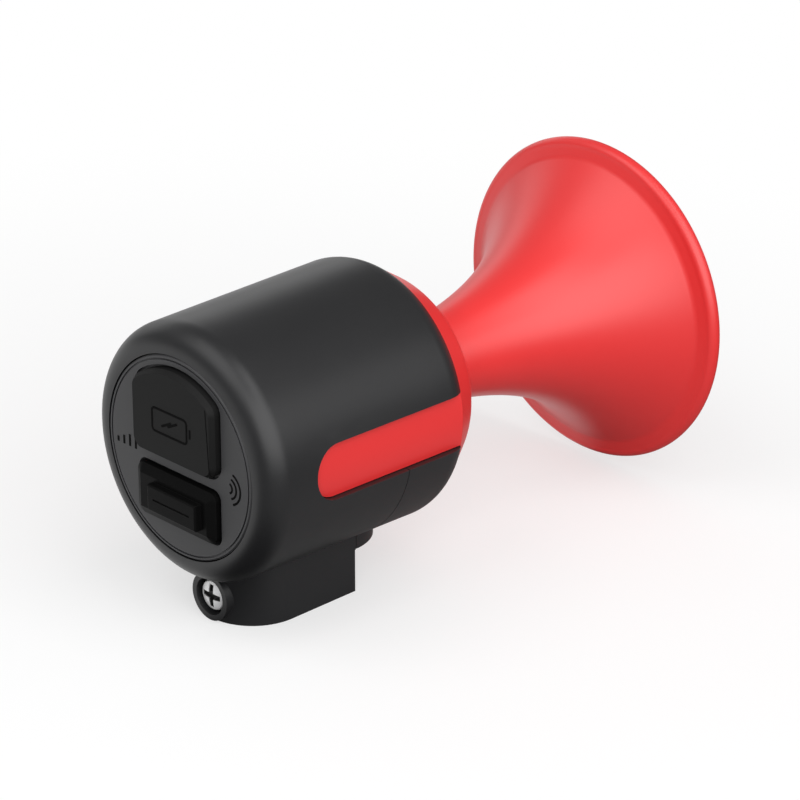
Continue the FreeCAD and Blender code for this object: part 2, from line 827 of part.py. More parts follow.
def countersunk(name, grow):
    """The turned form of a countersunk screw about its own axis, or, grown, of the hole for it."""
    body = new_body(name)
    profile = new_sketch(body, "YZ", f"{name}_profile")
    trace(profile, [
        (0, grow),
        (S.cover_screw_head_radius + 2 * grow, grow),
        (S.cover_screw_radius + 2 * grow, -S.cover_screw_head_height),
        (S.cover_screw_radius + 2 * grow, -S.cover_screw_length),
        (0, -S.cover_screw_length),
    ])
    doc.recompute()
    feature = body.newObject("PartDesign::Revolution", f"{name}_turned")
    feature.Profile = profile
    feature.ReferenceAxis = (profile, ["V_Axis"])
    feature.Angle = 360
    doc.recompute()
    return body


def set_cover_screw(item, side):
    bind(item, "Placement.Base.x", S.cover_screw_place)
    bind(item, "Placement.Base.y", side * S.cover_screw_side)
    bind(item, "Placement.Base.z", -S.cover_screw_top_drop)


def countersink_tools():
    """What the two screws and the way in for them take out of the skirt."""
    copies = []
    for number, side in enumerate((1, -1)):
        tool = countersunk(f"countersink_{number}", S.cover_screw_play)
        way_in = doc.addObject("Part::Cylinder", f"countersink_way_in_{number}")
        bind(way_in, "Radius", S.cover_screw_head_radius + 2 * S.cover_screw_play)
        bind(way_in, "Height", S.cover_screw_length)
        pair = fuse(f"countersink_pair_{number}", [tool, way_in])
        set_cover_screw(pair, side)
        copies.append(pair)
    return fuse("countersinks", copies)


def lower_cover_screws():
    copies = []
    for number, side in enumerate((1, -1)):
        screw = countersunk(f"cover_screw_{number}", ZERO)
        set_cover_screw(screw, side)
        copies.append(screw)
    group = doc.addObject("Part::Compound", "lower_cover_screws")
    group.Links = copies
    place(group, "lower_cover_screws")


# Horn
# The neck's radius grows by a fixed share per length, which makes an exponential horn. The inside is
# the same curve, moved in by the wall. Neck and flare are one moulding, kept as two nodes.

horn_length = (S.rim_place - S.rim_set_back - S.neck_start).value
horn_swell = (S.rim_foot_radius - S.neck_radius).value / math.expm1(horn_length / S.flare_rate.value)


def horn_point(along, depth):
    """The point at a place along the curve, moved in from the outside by depth, and the slope there."""
    growth = horn_swell * math.exp(along / S.flare_rate.value)
    slope = growth / S.flare_rate.value
    stretch = math.hypot(1, slope)
    x = S.neck_start.value + along + depth * slope / stretch
    r = S.neck_radius.value - horn_swell + growth - depth / stretch
    return FreeCAD.Vector(x, r, 0), FreeCAD.Vector(1 / stretch, slope / stretch, 0)


def horn_curve(start, end, depth, stations=7):
    places = [start + (end - start) * step / (stations - 1) for step in range(stations)]
    points = [horn_point(place_along, depth) for place_along in places]
    curve = Part.BSplineCurve()
    curve.interpolate(Points=[point for point, _ in points], InitialTangent=points[0][1],
                      FinalTangent=points[-1][1])
    return curve


def add_curves(sketch, curves):
    for curve in curves:
        index = sketch.addGeometry(curve, False)
        sketch.addConstraint(Sketcher.Constraint("Block", index))


def chain(corners):
    points = [FreeCAD.Vector(x, r, 0) for x, r in corners]
    return [Part.LineSegment(a, b) for a, b in zip(points, points[1:])]


def horn_neck():
    """The spigot in the nose, the collar, and the slim part of the horn."""
    body = new_body("horn_neck")
    wall = S.bell_wall.value
    outside = horn_curve(0, S.neck_length.value, 0)
    inside = horn_curve(0, S.neck_length.value, wall)
    root_front = (S.nose_face + S.spigot_fit).value
    root_radius = (S.socket_radius - S.spigot_fit).value
    collar_front = root_front + S.collar_thickness.value
    collar = S.collar_radius.value
    bore = inside.StartPoint
    collar_curve, _ = arc_between((collar_front, collar), (outside.StartPoint.x, outside.StartPoint.y),
                                  S.collar_round.value, 1)
    profile = new_sketch(body, "XZ", "neck_profile")
    add_curves(profile, chain([(bore.x, bore.y), (S.socket_rear.value, bore.y),
                               (S.socket_rear.value, root_radius), (root_front, root_radius),
                               (root_front, collar), (collar_front, collar)])
               + [collar_curve, outside, Part.LineSegment(outside.EndPoint, inside.EndPoint), inside])
    revolve(body, profile)
    place(body, "horn_neck")


def horn_bell():
    """The flare, the flat ring round its mouth that faces the rear, and the rounded lip outside it."""
    body = new_body("horn_bell")
    wall = S.bell_wall.value
    outside = horn_curve(S.neck_length.value, horn_length, 0)
    inside = horn_curve(S.neck_length.value, horn_length, wall)
    lip_centre = FreeCAD.Vector(S.rim_place.value, S.rim_radius.value, 0)
    lip_line = Part.Circle(lip_centre, Z_AXIS, S.rim_lip_radius.value)
    lip = Part.ArcOfCircle(lip_line, -math.pi / 2, math.pi)
    profile = new_sketch(body, "XZ", "bell_profile")
    add_curves(profile, [outside, Part.LineSegment(outside.EndPoint, lip.EndPoint), lip,
                         Part.LineSegment(lip.StartPoint, inside.EndPoint), inside,
                         Part.LineSegment(inside.StartPoint, outside.StartPoint)])
    revolve(body, profile)
    place(body, "horn_bell")


# Rear cap and what sits in it

def cover_outline(sketch, inset):
    """Straight sides and bottom, and a top that runs round with the cap."""
    half = S.recess_half_width - inset
    low = S.recess_bottom + inset
    radius = S.recess_top_radius - inset
    top = math.sqrt(radius.value ** 2 - half.value ** 2)
    corner = FreeCAD.Vector
    angle = math.atan2(top, half.value)
    bottom = sketch.addGeometry(Part.LineSegment(corner(-half.value, low.value, 0),
                                                 corner(half.value, low.value, 0)), False)
    right = sketch.addGeometry(Part.LineSegment(corner(half.value, low.value, 0),
                                                corner(half.value, top, 0)), False)
    round_line = Part.Circle(corner(0, 0, 0), corner(0, 0, 1), radius.value)
    arc = sketch.addGeometry(Part.ArcOfCircle(round_line, angle, math.pi - angle), False)
    left = sketch.addGeometry(Part.LineSegment(corner(-half.value, top, 0),
                                               corner(-half.value, low.value, 0)), False)
    for a, a_end, b, b_end in ((bottom, 2, right, 1), (right, 2, arc, 1), (arc, 2, left, 1),
                               (left, 2, bottom, 1)):
        sketch.addConstraint(Sketcher.Constraint("Coincident", a, a_end, b, b_end))
    sketch.addConstraint(Sketcher.Constraint("Coincident", arc, 3, -1, 1))
    hold(sketch, "Radius", arc, None, radius)
    for line, point, x in ((bottom, 1, -half), (bottom, 2, half), (right, 2, half), (left, 1, -half)):
        hold(sketch, "DistanceX", line, point, x)
    hold(sketch, "DistanceY", bottom, 1, low)
    hold(sketch, "DistanceY", bottom, 2, low)


def long_edges_between(low, high):
    """A test for edges along the horn's axis that lie between two x values."""
    def test(edge):
        middle = edge.CenterOfMass.x
        return runs_along(edge, X_AXIS) and low.value < middle < high.value
    return test


def end_cap():
    body = new_body("end_cap")
    profile = new_sketch(body, "XZ", "cap_profile")
    trace(profile, [
        (0, 0),
        (0, cap_rim - S.cap_chamfer),
        (S.cap_chamfer, cap_rim),
        (S.cap_flange_face, cap_rim),
        (S.cap_flange_face, cap_flange),
        (S.cap_flange_back, cap_flange),
        (S.cap_flange_back, S.cap_skirt_radius),
        (S.cap_plate, S.cap_skirt_radius),
        (S.cap_plate, 0),
    ])
    revolve(body, profile)
    recess = new_sketch(body, "YZ", "cover_recess")
    cover_outline(recess, ZERO)
    extrude(body, recess, S.recess_depth, cut=True)
    recess_floor_side = long_edges_between(ZERO, S.recess_depth)

    def recess_corner(edge):
        return recess_floor_side(edge) and abs(abs(edge.CenterOfMass.y) - S.recess_half_width.value) < 1e-4

    round_edges(body, "recess_corners", S.recess_corner, recess_corner)
    window = new_sketch(body, "YZ", "key_window")
    rectangle(window, 0, S.key_height, S.key_window_half_width, S.key_window_half_height)
    extrude(body, window, S.cap_plate, cut=True)

    def window_corner(edge):
        return runs_along(edge, X_AXIS) and abs(edge.Length - S.cap_plate.value) < 1e-4

    round_edges(body, "window_corners", S.key_window_corner, window_corner)
    groove = new_sketch(body, "YZ", "cap_groove")
    circle(groove, 0, 0, S.cap_groove_radius - S.cap_groove_width / 2)
    circle(groove, 0, 0, S.cap_groove_radius + S.cap_groove_width / 2)
    extrude(body, groove, S.cap_groove_depth, cut=True)
    seat = new_sketch(body, "YZ", "seal_groove", S.cap_flange_face)
    circle(seat, 0, 0, S.seal_radius - S.seal_section / 2 - S.seal_play)
    circle(seat, 0, 0, S.seal_radius + S.seal_section / 2 + S.seal_play)
    extrude(body, seat, S.seal_section + 2 * S.seal_play - S.cap_flange_face + S.lip_depth, cut=True)
    port_window = new_sketch(body, "YZ", "port_window", S.recess_depth)
    rectangle(port_window, 0, S.port_height, S.port_half_width + S.port_window_gap,
              S.port_half_height + S.port_window_gap)
    extrude(body, port_window, S.cap_plate - S.recess_depth, cut=True)
    slit = new_sketch(body, "YZ", "tether_slit")
    rectangle(slit, (S.tether_inner + S.tether_outer) / 2, (S.tether_low + S.tether_high) / 2,
              (S.tether_outer - S.tether_inner) / 2 + S.tether_play,
              (S.tether_high - S.tether_low) / 2)
    extrude(body, slit, S.cap_plate, cut=True)
    posts = new_sketch(body, "YZ", "board_posts", S.cap_plate)
    for y, z in post_places():
        circle(posts, y, z, S.post_radius)
    extrude(body, posts, S.board_rear - S.cap_plate)
    pilots = new_sketch(body, "YZ", "post_pilots", S.board_rear)
    for y, z in post_places():
        circle(pilots, y, z, S.post_pilot_radius)
    extrude(body, pilots, S.post_pilot_depth, forward=False, cut=True)
    place(body, "end_cap")


def post_places():
    return ((S.post_place, ZERO), (-S.post_place, ZERO), (ZERO, S.post_place))


def cap_seal():
    seal = doc.addObject("Part::Torus", "cap_seal")
    bind(seal, "Radius1", S.seal_radius)
    bind(seal, "Radius2", S.seal_section / 2)
    seal.Placement = FreeCAD.Placement(FreeCAD.Vector(0, 0, 0),
                                       FreeCAD.Rotation(FreeCAD.Vector(0, 1, 0), 90))
    place(seal, "cap_seal", forward=S.lip_depth + S.seal_section / 2 + S.seal_play)


def usb_cover():
    """Raised lid with a bevelled face, and the hollow plug on its back."""
    body = new_body("usb_cover")
    lid = new_sketch(body, "YZ", "lid", cover_back)
    cover_outline(lid, S.cover_gap)
    extrude(body, lid, cover_back + S.cover_rise, forward=False)
    round_edges(body, "lid_corners", S.recess_corner - S.cover_gap,
                lambda edge: runs_along(edge, X_AXIS))
    bevel_edges(body, "lid_bevel", S.cover_bevel_width, S.cover_bevel_depth,
                lambda edge: in_plane_x(edge, -S.cover_rise))
    plug = new_sketch(body, "YZ", "plug", cover_back)
    rounded_rectangle(plug, 0, S.port_height, S.plug_half_width, S.plug_half_height, S.plug_corner)
    extrude(body, plug, S.plug_tip - cover_back)
    hollow = new_sketch(body, "YZ", "plug_hollow", S.port_mouth)
    rectangle(hollow, 0, S.port_height, S.plug_slot_half_width, S.plug_slot_half_height)
    extrude(body, hollow, S.plug_tip - S.port_mouth, cut=True)
    place(body, "usb_cover")


def cover_tether():
    """The cover's anchor: a tongue through the cap's slit, with a barb behind the plate."""
    body = new_body("cover_tether")
    middle = (S.tether_low + S.tether_high) / 2
    half_height = (S.tether_high - S.tether_low) / 2
    inner = S.tether_inner
    outer = S.tether_outer
    tongue = new_sketch(body, "YZ", "tongue", cover_back)
    rectangle(tongue, (inner + outer) / 2, middle, (outer - inner) / 2, half_height - S.tether_play)
    extrude(body, tongue, S.tether_length - cover_back)
    barb = new_sketch(body, "YZ", "barb", S.cap_plate + S.tether_play)
    rectangle(barb, (inner + outer) / 2, middle, (outer - inner) / 2 + S.tether_barb,
              half_height - S.tether_play)
    extrude(body, barb, S.tether_length - S.cap_plate - S.tether_play)
    place(body, "cover_tether")


def horn_button():
    """Key with sloped sides and a bar across it, and the flange that keeps it behind the cap."""
    body = new_body("horn_button")
    half_width = S.key_window_half_width - S.key_gap
    half_height = S.key_window_half_height - S.key_gap
    key = new_sketch(body, "YZ", "key", key_back)
    rectangle(key, 0, S.key_height, half_width, half_height)
    extrude(body, key, key_back + S.key_rise, forward=False)
    round_edges(body, "key_corners", S.key_window_corner - S.key_gap / 2,
                lambda edge: runs_along(edge, X_AXIS))
    bevel_edges(body, "key_slopes", S.key_slope_width, S.key_slope_depth,
                lambda edge: in_plane_x(edge, -S.key_rise))
    flange = new_sketch(body, "YZ", "key_flange", key_back)
    rectangle(flange, 0, S.key_height, S.key_window_half_width + S.key_flange_lap,
              S.key_window_half_height + S.key_flange_lap)
    extrude(body, flange, S.key_flange_thickness)

    def flange_corner(edge):
        return runs_along(edge, X_AXIS) and abs(edge.Length - S.key_flange_thickness.value) < 1e-4

    round_edges(body, "flange_corners", S.key_flange_corner, flange_corner)
    bar = new_sketch(body, "YZ", "bar", -S.key_rise)
    rectangle(bar, S.bar_side, S.key_height, S.bar_half_width, S.bar_half_height)
    extrude(body, bar, S.bar_rise, forward=False)
    bar_face = -S.key_rise - S.bar_rise
    round_edges(body, "bar_round", S.bar_round, lambda edge: in_plane_x(edge, bar_face))
    crease = new_sketch(body, "YZ", "bar_crease", bar_face)
    rectangle(crease, S.bar_side, S.key_height, S.bar_crease_half_width, S.bar_crease_width / 2)
    extrude(body, crease, S.bar_crease_depth, cut=True)
    place(body, "horn_button")


def switch_body():
    body = new_body("switch_body")
    case = new_sketch(body, "YZ", "switch_case", S.switch_face)
    rectangle(case, 0, S.key_height, S.switch_half_width, S.switch_half_width)
    extrude(body, case, S.board_rear - S.switch_face)
    bore = new_sketch(body, "YZ", "switch_bore", S.switch_face)
    circle(bore, 0, S.key_height, S.switch_bore_radius)
    extrude(body, bore, S.switch_bore_depth, cut=True)
    place(body, "switch_body")


def cylinder_along_x(name, radius, length, start, side=ZERO, up=ZERO):
    item = doc.addObject("Part::Cylinder", name)
    bind(item, "Radius", radius)
    bind(item, "Height", length)
    item.Placement = FreeCAD.Placement(FreeCAD.Vector(0, 0, 0),
                                       FreeCAD.Rotation(FreeCAD.Vector(0, 1, 0), 90))
    place(item, name, forward=start, up=up, side=side)


def port():
    shell = new_body("usb_port_shell")
    case = new_sketch(shell, "YZ", "port_case", S.port_mouth)
    case_corner = S.port_half_height - S.port_wall
    rounded_rectangle(case, 0, S.port_height, S.port_half_width, S.port_half_height, case_corner)
    extrude(shell, case, S.board_rear - S.port_mouth)
    mouth = new_sketch(shell, "YZ", "port_hollow", S.port_mouth)
    rounded_rectangle(mouth, 0, S.port_height, S.port_half_width - S.port_wall,
                      S.port_half_height - S.port_wall, case_corner - S.port_wall)
    extrude(shell, mouth, S.port_depth, cut=True)
    place(shell, "usb_port_shell")
    tongue = new_body("usb_port_tongue")
    blade = new_sketch(tongue, "YZ", "port_blade", S.tongue_front)
    rectangle(blade, 0, S.port_height, S.tongue_half_width, S.tongue_half_height)
    extrude(tongue, blade, S.port_mouth + S.port_depth - S.tongue_front)
    place(tongue, "usb_port_tongue")


# Board

def control_board():
    body = new_body("control_board")
    disc = new_sketch(body, "YZ", "board_disc", S.board_rear)
    circle(disc, 0, 0, S.board_radius)
    for y, z in post_places():
        circle(disc, y, z, S.board_hole_radius)
    extrude(body, disc, S.board_thickness)
    place(body, "control_board")


def board_screws():
    copies = []
    for number, (y, z) in enumerate(post_places()):
        screw = new_body(f"board_screw_{number}")
        head = new_sketch(screw, "YZ", f"board_screw_head_{number}", board_front)
        circle(head, y, z, S.board_screw_head_radius)
        extrude(screw, head, S.board_screw_head_height)
        shank = new_sketch(screw, "YZ", f"board_screw_shank_{number}", board_front)
        circle(shank, y, z, S.board_screw_radius)
        extrude(screw, shank, S.board_screw_length, forward=False)
        copies.append(screw)
    group = doc.addObject("Part::Compound", "board_screws")
    group.Links = copies
    place(group, "board_screws")


def boost_coil():
    """A bobbin: two flanges on a core."""
    body = new_body("boost_coil")
    profile = new_sketch(body, "XZ", "coil_profile")
    trace(profile, [
        (0, 0),
        (0, S.coil_radius),
        (S.coil_flange, S.coil_radius),
        (S.coil_flange, S.coil_core_radius),
        (S.coil_height - S.coil_flange, S.coil_core_radius),
        (S.coil_height - S.coil_flange, S.coil_radius),
        (S.coil_height, S.coil_radius),
        (S.coil_height, 0),
    ])
    revolve(body, profile)
    place(body, "boost_coil", forward=board_front, up=S.coil_drop)


def driver_chip():
    body = new_body("driver_chip")
    case = new_sketch(body, "YZ", "chip_case", board_front)
    rectangle(case, S.chip_side, S.chip_top, S.chip_half_width, S.chip_half_width)
    extrude(body, case, S.chip_height)
    place(body, "driver_chip")


# Battery

def battery_cell():
    """A round cell that lies across the barrel, with its raised end."""
    body = new_body("battery_cell")
    profile = new_sketch(body, "XY", "cell_profile")
    nub = S.cell_half_length + S.cell_nub_length
    trace(profile, [
        (0, -S.cell_half_length),
        (S.cell_radius, -S.cell_half_length),
        (S.cell_radius, S.cell_half_length),
        (S.cell_nub_radius, S.cell_half_length),
        (S.cell_nub_radius, nub),
        (0, nub),
    ])
    doc.recompute()
    feature = body.newObject("PartDesign::Revolution", "cell_turned")
    feature.Profile = profile
    feature.ReferenceAxis = (profile, ["V_Axis"])
    feature.Angle = 360
    doc.recompute()
    place(body, "battery_cell", forward=S.cell_place)


def battery_pad():
    body = new_body("battery_pad")
    foam = new_sketch(body, "YZ", "foam", foam_rear)
    rectangle(foam, 0, 0, S.foam_half_width, S.foam_half_height)
    extrude(body, foam, S.foam_thickness)
    place(body, "battery_pad")


def battery_cradle():
    """A disc with two saddle ribs that the cell lies in."""
    body = new_body("battery_cradle")
    disc = new_sketch(body, "YZ", "cradle_disc", S.cradle_face)
    circle(disc, 0, 0, skirt_inner - S.cradle_gap)
    circle(disc, 0, 0, S.cradle_hole_radius)
    extrude(body, disc, S.cradle_plate)
    ribs = new_sketch(body, "YZ", "cradle_ribs", S.cradle_face)
    for side in (1, -1):
        rectangle(ribs, side * S.cradle_rib_place, 0, S.cradle_rib_thickness / 2,
                  S.cradle_rib_half_height)
    extrude(body, ribs, S.cradle_face - S.cradle_rib_reach, forward=False)
    saddle = new_sketch(body, "XZ", "cradle_saddle")
    circle(saddle, S.cell_place, 0, S.cell_radius + S.cradle_cell_gap)
    cut_both_ways(body, saddle)
    place(body, "battery_cradle")


# Driver

def driver_frame():
    body = new_body("driver_frame")
    profile = new_sketch(body, "XZ", "frame_profile")
    flange_rear = S.driver_front - S.driver_flange_thickness
    trace(profile, [
        (S.basket_rear, S.basket_radius),
        (S.basket_rear, S.basket_radius + S.basket_wall),
        (flange_rear, S.driver_land_radius),
        (flange_rear, S.driver_radius),
        (S.driver_front, S.driver_radius),
        (S.driver_front, S.driver_land_radius),
        (S.basket_rear + S.basket_wall, S.basket_radius),
    ])
    revolve(body, profile)
    place(body, "driver_frame")


def driver_motor():
    """Cup, magnet, pole plate and the coil's tube, stacked on the axis."""
    cup = new_body("driver_yoke")
    cup_profile = new_sketch(cup, "XZ", "yoke_profile")
    floor = S.yoke_rear + S.yoke_wall
    trace(cup_profile, [
        (S.yoke_rear, 0),
        (S.yoke_rear, S.yoke_radius),
        (S.yoke_front, S.yoke_radius),
        (S.yoke_front, S.yoke_radius - S.yoke_wall),
        (floor, S.yoke_radius - S.yoke_wall),
        (floor, 0),
    ])
    revolve(cup, cup_profile)
    place(cup, "driver_yoke")
    magnet_rear = floor + S.stack_gap
    pole_rear = magnet_rear + S.magnet_thickness + S.stack_gap
    cylinder_along_x("driver_magnet", S.magnet_radius, S.magnet_thickness, magnet_rear)
    cylinder_along_x("pole_plate", S.pole_radius, S.pole_thickness, pole_rear)
    tube = new_body("voice_coil")
    tube_outline = new_sketch(tube, "YZ", "coil_tube", S.coil_tube_rear)
    circle(tube_outline, 0, 0, S.coil_tube_inner)
    circle(tube_outline, 0, 0, S.coil_tube_outer)
    extrude(tube, tube_outline, S.dome_foot - S.stack_gap - S.coil_tube_rear)
    place(tube, "voice_coil")


def diaphragm():
    """A thin dome inside a half-round surround, with a flat rim on the frame's flange."""
    body = new_body("diaphragm")
    sheet_thickness = S.diaphragm_sheet
    profile = new_sketch(body, "XZ", "diaphragm_profile")
    rim = S.driver_front + S.stack_gap
    top = S.dome_foot + S.dome_rise
    dome_curve = (S.dome_radius * S.dome_radius + S.dome_rise * S.dome_rise) / (2 * S.dome_rise)
    trace(profile, [
        (top, 0),
        (S.dome_foot, S.dome_radius, dome_curve, 1),
        (rim, S.surround_radius),
        (rim, S.driver_radius),
        (rim + sheet_thickness, S.driver_radius),
        (rim + sheet_thickness, S.surround_radius),
        (S.dome_foot + sheet_thickness, S.dome_radius),
        (top + sheet_thickness, 0, dome_curve, -1),
    ])
    revolve(body, profile)
    place(body, "diaphragm")


def driver_gasket():
    body = new_body("driver_gasket")
    ring = new_sketch(body, "YZ", "gasket_ring", gasket_rear)
    circle(ring, 0, 0, S.gasket_inner_radius)
    circle(ring, 0, 0, S.driver_radius)
    extrude(body, ring, S.gasket_thickness)
    place(body, "driver_gasket")


# Clamp screw

def clamp_screw():
    """Pan head with a cross recess, seated in the boss, and a shank that stands out of the jaw face."""
    body = new_body("clamp_screw")
    profile = new_sketch(body, "XZ", "screw_profile")
    thread_start = S.jaw_face - S.screw_seat
    end = thread_start + S.screw_stickout
    tip = S.screw_radius / 3
    crown = S.head_height * 0.7
    trace(profile, [
        (-S.head_height, 0),
        (-S.head_height, S.head_radius - crown / 2),
        (crown - S.head_height, S.head_radius, crown, -1),
        (0, S.head_radius),
        (0, S.screw_shank_radius),
        (thread_start, S.screw_shank_radius),
        (thread_start, S.screw_radius),
        (end - tip, S.screw_radius),
        (end, S.screw_radius - tip),
        (end, 0),
    ])
    revolve(body, profile)
    cross = new_sketch(body, "YZ", "cross", -S.head_height)
    long_half = S.cross_length / 2
    short_half = S.cross_width / 2
    trace(cross, [
        (-long_half, -short_half), (-short_half, -short_half), (-short_half, -long_half),
        (short_half, -long_half), (short_half, -short_half), (long_half, -short_half),
        (long_half, short_half), (short_half, short_half), (short_half, long_half),
        (-short_half, long_half), (-short_half, short_half), (-long_half, short_half),
    ])
    extrude(body, cross, S.cross_depth, cut=True)
    place(body, "clamp_screw", forward=S.screw_seat, up=-screw_drop)


main_shell()
front_lower_cover()
inner_body()
lower_cover_screws()
horn_neck()
horn_bell()
end_cap()
cap_seal()
usb_cover()
cover_tether()
horn_button()
switch_body()
cylinder_along_x("switch_plunger", S.plunger_radius, S.plunger_length, plunger_start, up=S.key_height)
port()
control_board()
board_screws()
boost_coil()
driver_chip()
cylinder_along_x("smoothing_capacitor", S.capacitor_radius, S.capacitor_height, board_front,
                 side=S.capacitor_side, up=S.capacitor_top)
battery_cell()
battery_pad()
battery_cradle()
driver_frame()
driver_motor()
diaphragm()
driver_gasket()
clamp_screw()
doc.recompute()

faults = [item.Name for item in doc.Objects if "Invalid" in item.State or "Error" in item.State]
for name, item in SUB_PARTS:
    if item.Shape.isNull() or not item.Shape.isValid():
        faults.append(name)
if faults:
    raise RuntimeError(f"these objects failed: {faults}")

os.makedirs("parts", exist_ok=True)
for name, item in SUB_PARTS:
    item.Shape.exportStep(f"parts/{name}.step")
    box = item.Shape.BoundBox
    print(f"{name}: {len(item.Shape.Solids)} solid, {item.Shape.Volume:.1f} mm3, "
          f"x {box.XMin:.2f} to {box.XMax:.2f}, z {box.ZMin:.2f} to {box.ZMax:.2f}")
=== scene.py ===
# %% [markdown]
# # An electronic bike horn
# A black barrel holds the battery and the driver, a red horn opens in front, and the rear cap carries
# the charging cover and the key. The engineering model gives every piece its size and place. This
# lesson gives them their finish, and makes anew the pieces whose look needs finer surfaces.

# %% Load the model
import json
import math

import bmesh
import bpy
import numpy as np
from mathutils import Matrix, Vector


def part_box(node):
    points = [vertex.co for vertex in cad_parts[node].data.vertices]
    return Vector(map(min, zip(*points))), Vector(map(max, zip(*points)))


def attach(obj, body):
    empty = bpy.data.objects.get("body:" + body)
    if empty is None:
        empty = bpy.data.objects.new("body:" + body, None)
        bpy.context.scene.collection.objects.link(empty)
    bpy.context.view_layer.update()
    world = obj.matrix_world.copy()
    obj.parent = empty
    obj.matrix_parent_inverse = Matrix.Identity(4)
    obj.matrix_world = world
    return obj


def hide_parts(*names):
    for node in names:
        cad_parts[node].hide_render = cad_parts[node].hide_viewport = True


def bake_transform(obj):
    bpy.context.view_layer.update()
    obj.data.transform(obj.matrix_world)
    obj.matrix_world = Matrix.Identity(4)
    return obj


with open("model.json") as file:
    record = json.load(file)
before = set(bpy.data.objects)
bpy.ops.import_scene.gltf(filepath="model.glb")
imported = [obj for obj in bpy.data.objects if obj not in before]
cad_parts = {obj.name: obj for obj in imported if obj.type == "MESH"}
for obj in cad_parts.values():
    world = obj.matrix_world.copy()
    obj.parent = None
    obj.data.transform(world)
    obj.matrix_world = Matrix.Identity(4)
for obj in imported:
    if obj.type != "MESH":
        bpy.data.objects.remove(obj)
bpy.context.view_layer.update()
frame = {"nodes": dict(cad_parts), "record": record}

print("pieces in the model:", len(frame["nodes"]))

# %% [markdown]
# Everything is measured from a few places that the model already has: the horn's axis, the start of
# its neck and the front of its bell. They could be typed in as numbers, but taking them from the boxes
# of the pieces keeps the two files in step. Lengths are in metres, so a millimetre gets a name.

# %% Reference places
MM = 0.001
TURN = 2 * math.pi
bell_low, bell_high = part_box("horn_bell")
neck_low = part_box("horn_neck")[0]
axis_height = (bell_low.z + bell_high.z) / 2
print("axis height in mm:", round(axis_height / MM, 2), "neck from mm:", round(neck_low.x / MM, 2))

# %% [markdown]
# A new surface is a grid of points, worked out as whole arrays. One helper turns such a grid into a
# mesh: neighbours in the grid become the corners of a face. Where a surface closes on itself the last
# row joins the first, and points that fall together, as at a pole, are merged.

# %% Grid to mesh
SHARP_ANGLE = math.radians(32)
WELD_DISTANCE = 0.0005 * MM


def grid_faces(rows, columns, close_rows, close_columns):
    """Corner numbers of the faces between row i, i + 1 and column j, j + 1."""
    i = np.arange(rows if close_rows else rows - 1)[:, None]
    j = np.arange(columns if close_columns else columns - 1)[None, :]
    next_i = (i + 1) % rows
    next_j = (j + 1) % columns
    corners = [i * columns + j, i * columns + next_j, next_i * columns + next_j, next_i * columns + j]
    return np.stack([c + 0 * i + 0 * j for c in corners], axis=-1).reshape(-1, 4)


def mesh_piece(name, points, faces):
    """An object from an array of points and an array of four-cornered faces, welded and turned outwards."""
    mesh = bpy.data.meshes.new(name)
    mesh.vertices.add(len(points))
    mesh.vertices.foreach_set("co", np.asarray(points, np.float32).ravel())
    mesh.loops.add(faces.size)
    mesh.loops.foreach_set("vertex_index", faces.astype(np.int32).ravel())
    mesh.polygons.add(len(faces))
    mesh.polygons.foreach_set("loop_start", np.arange(0, faces.size, 4, dtype=np.int32))
    mesh.update(calc_edges=True)
    work = bmesh.new()
    work.from_mesh(mesh)
    bmesh.ops.remove_doubles(work, verts=work.verts, dist=WELD_DISTANCE)
    bmesh.ops.recalc_face_normals(work, faces=work.faces)
    work.to_mesh(mesh)
    work.free()
    mesh.shade_smooth()
    mesh.set_sharp_from_angle(angle=SHARP_ANGLE)
    piece = bpy.data.objects.new(name, mesh)
    bpy.context.scene.collection.objects.link(piece)
    print(name, "has", len(mesh.polygons), "faces")
    return piece


def grid_piece(name, grid, close_rows=False, close_columns=True):
    """An object from a grid of points, closed on itself in one or both directions."""
    rows, columns = grid.shape[:2]
    return mesh_piece(name, grid.reshape(-1, 3), grid_faces(rows, columns, close_rows, close_columns))


# %% [markdown]
# Two patterns are shared by many finishes, so each is a shader node group. The first is the skin of
# a moulding: a fine grain for the bump, and a slow cloud that varies the colour and the gloss a
# little, as real mouldings do where the plastic flowed and cooled. An image would do it too, but
# noise has no seams and stays sharp from close by.

# %% Skin of a moulding
def new_group(name, inputs, outputs):
    """A shader node group with its sockets, its input node and its output node."""
    group = bpy.data.node_groups.new(name, "ShaderNodeTree")
    for label, kind, value in inputs:
        socket = group.interface.new_socket(label, in_out="INPUT", socket_type=kind)
        socket.default_value = value
    for label, kind in outputs:
        group.interface.new_socket(label, in_out="OUTPUT", socket_type=kind)
    return group, group.nodes.new("NodeGroupInput"), group.nodes.new("NodeGroupOutput")


skin, skin_in, skin_out = new_group(
    "moulded_skin",
    [("Grain Scale", "NodeSocketFloat", 9000.0), ("Cloud Scale", "NodeSocketFloat", 60.0)],
    [("Grain", "NodeSocketFloat"), ("Cloud", "NodeSocketFloat")])
place = skin.nodes.new("ShaderNodeTexCoord")
grain = skin.nodes.new("ShaderNodeTexNoise")
grain.inputs["Detail"].default_value = 3.0
cloud = skin.nodes.new("ShaderNodeTexNoise")
cloud.inputs["Detail"].default_value = 4.0
cloud.inputs["Distortion"].default_value = 0.4
for texture, label in ((grain, "Grain"), (cloud, "Cloud")):
    skin.links.new(place.outputs["Object"], texture.inputs["Vector"])
    skin.links.new(skin_in.outputs[f"{label} Scale"], texture.inputs["Scale"])
    skin.links.new(texture.outputs["Fac"], skin_out.inputs[label])
print("group made:", skin.name)
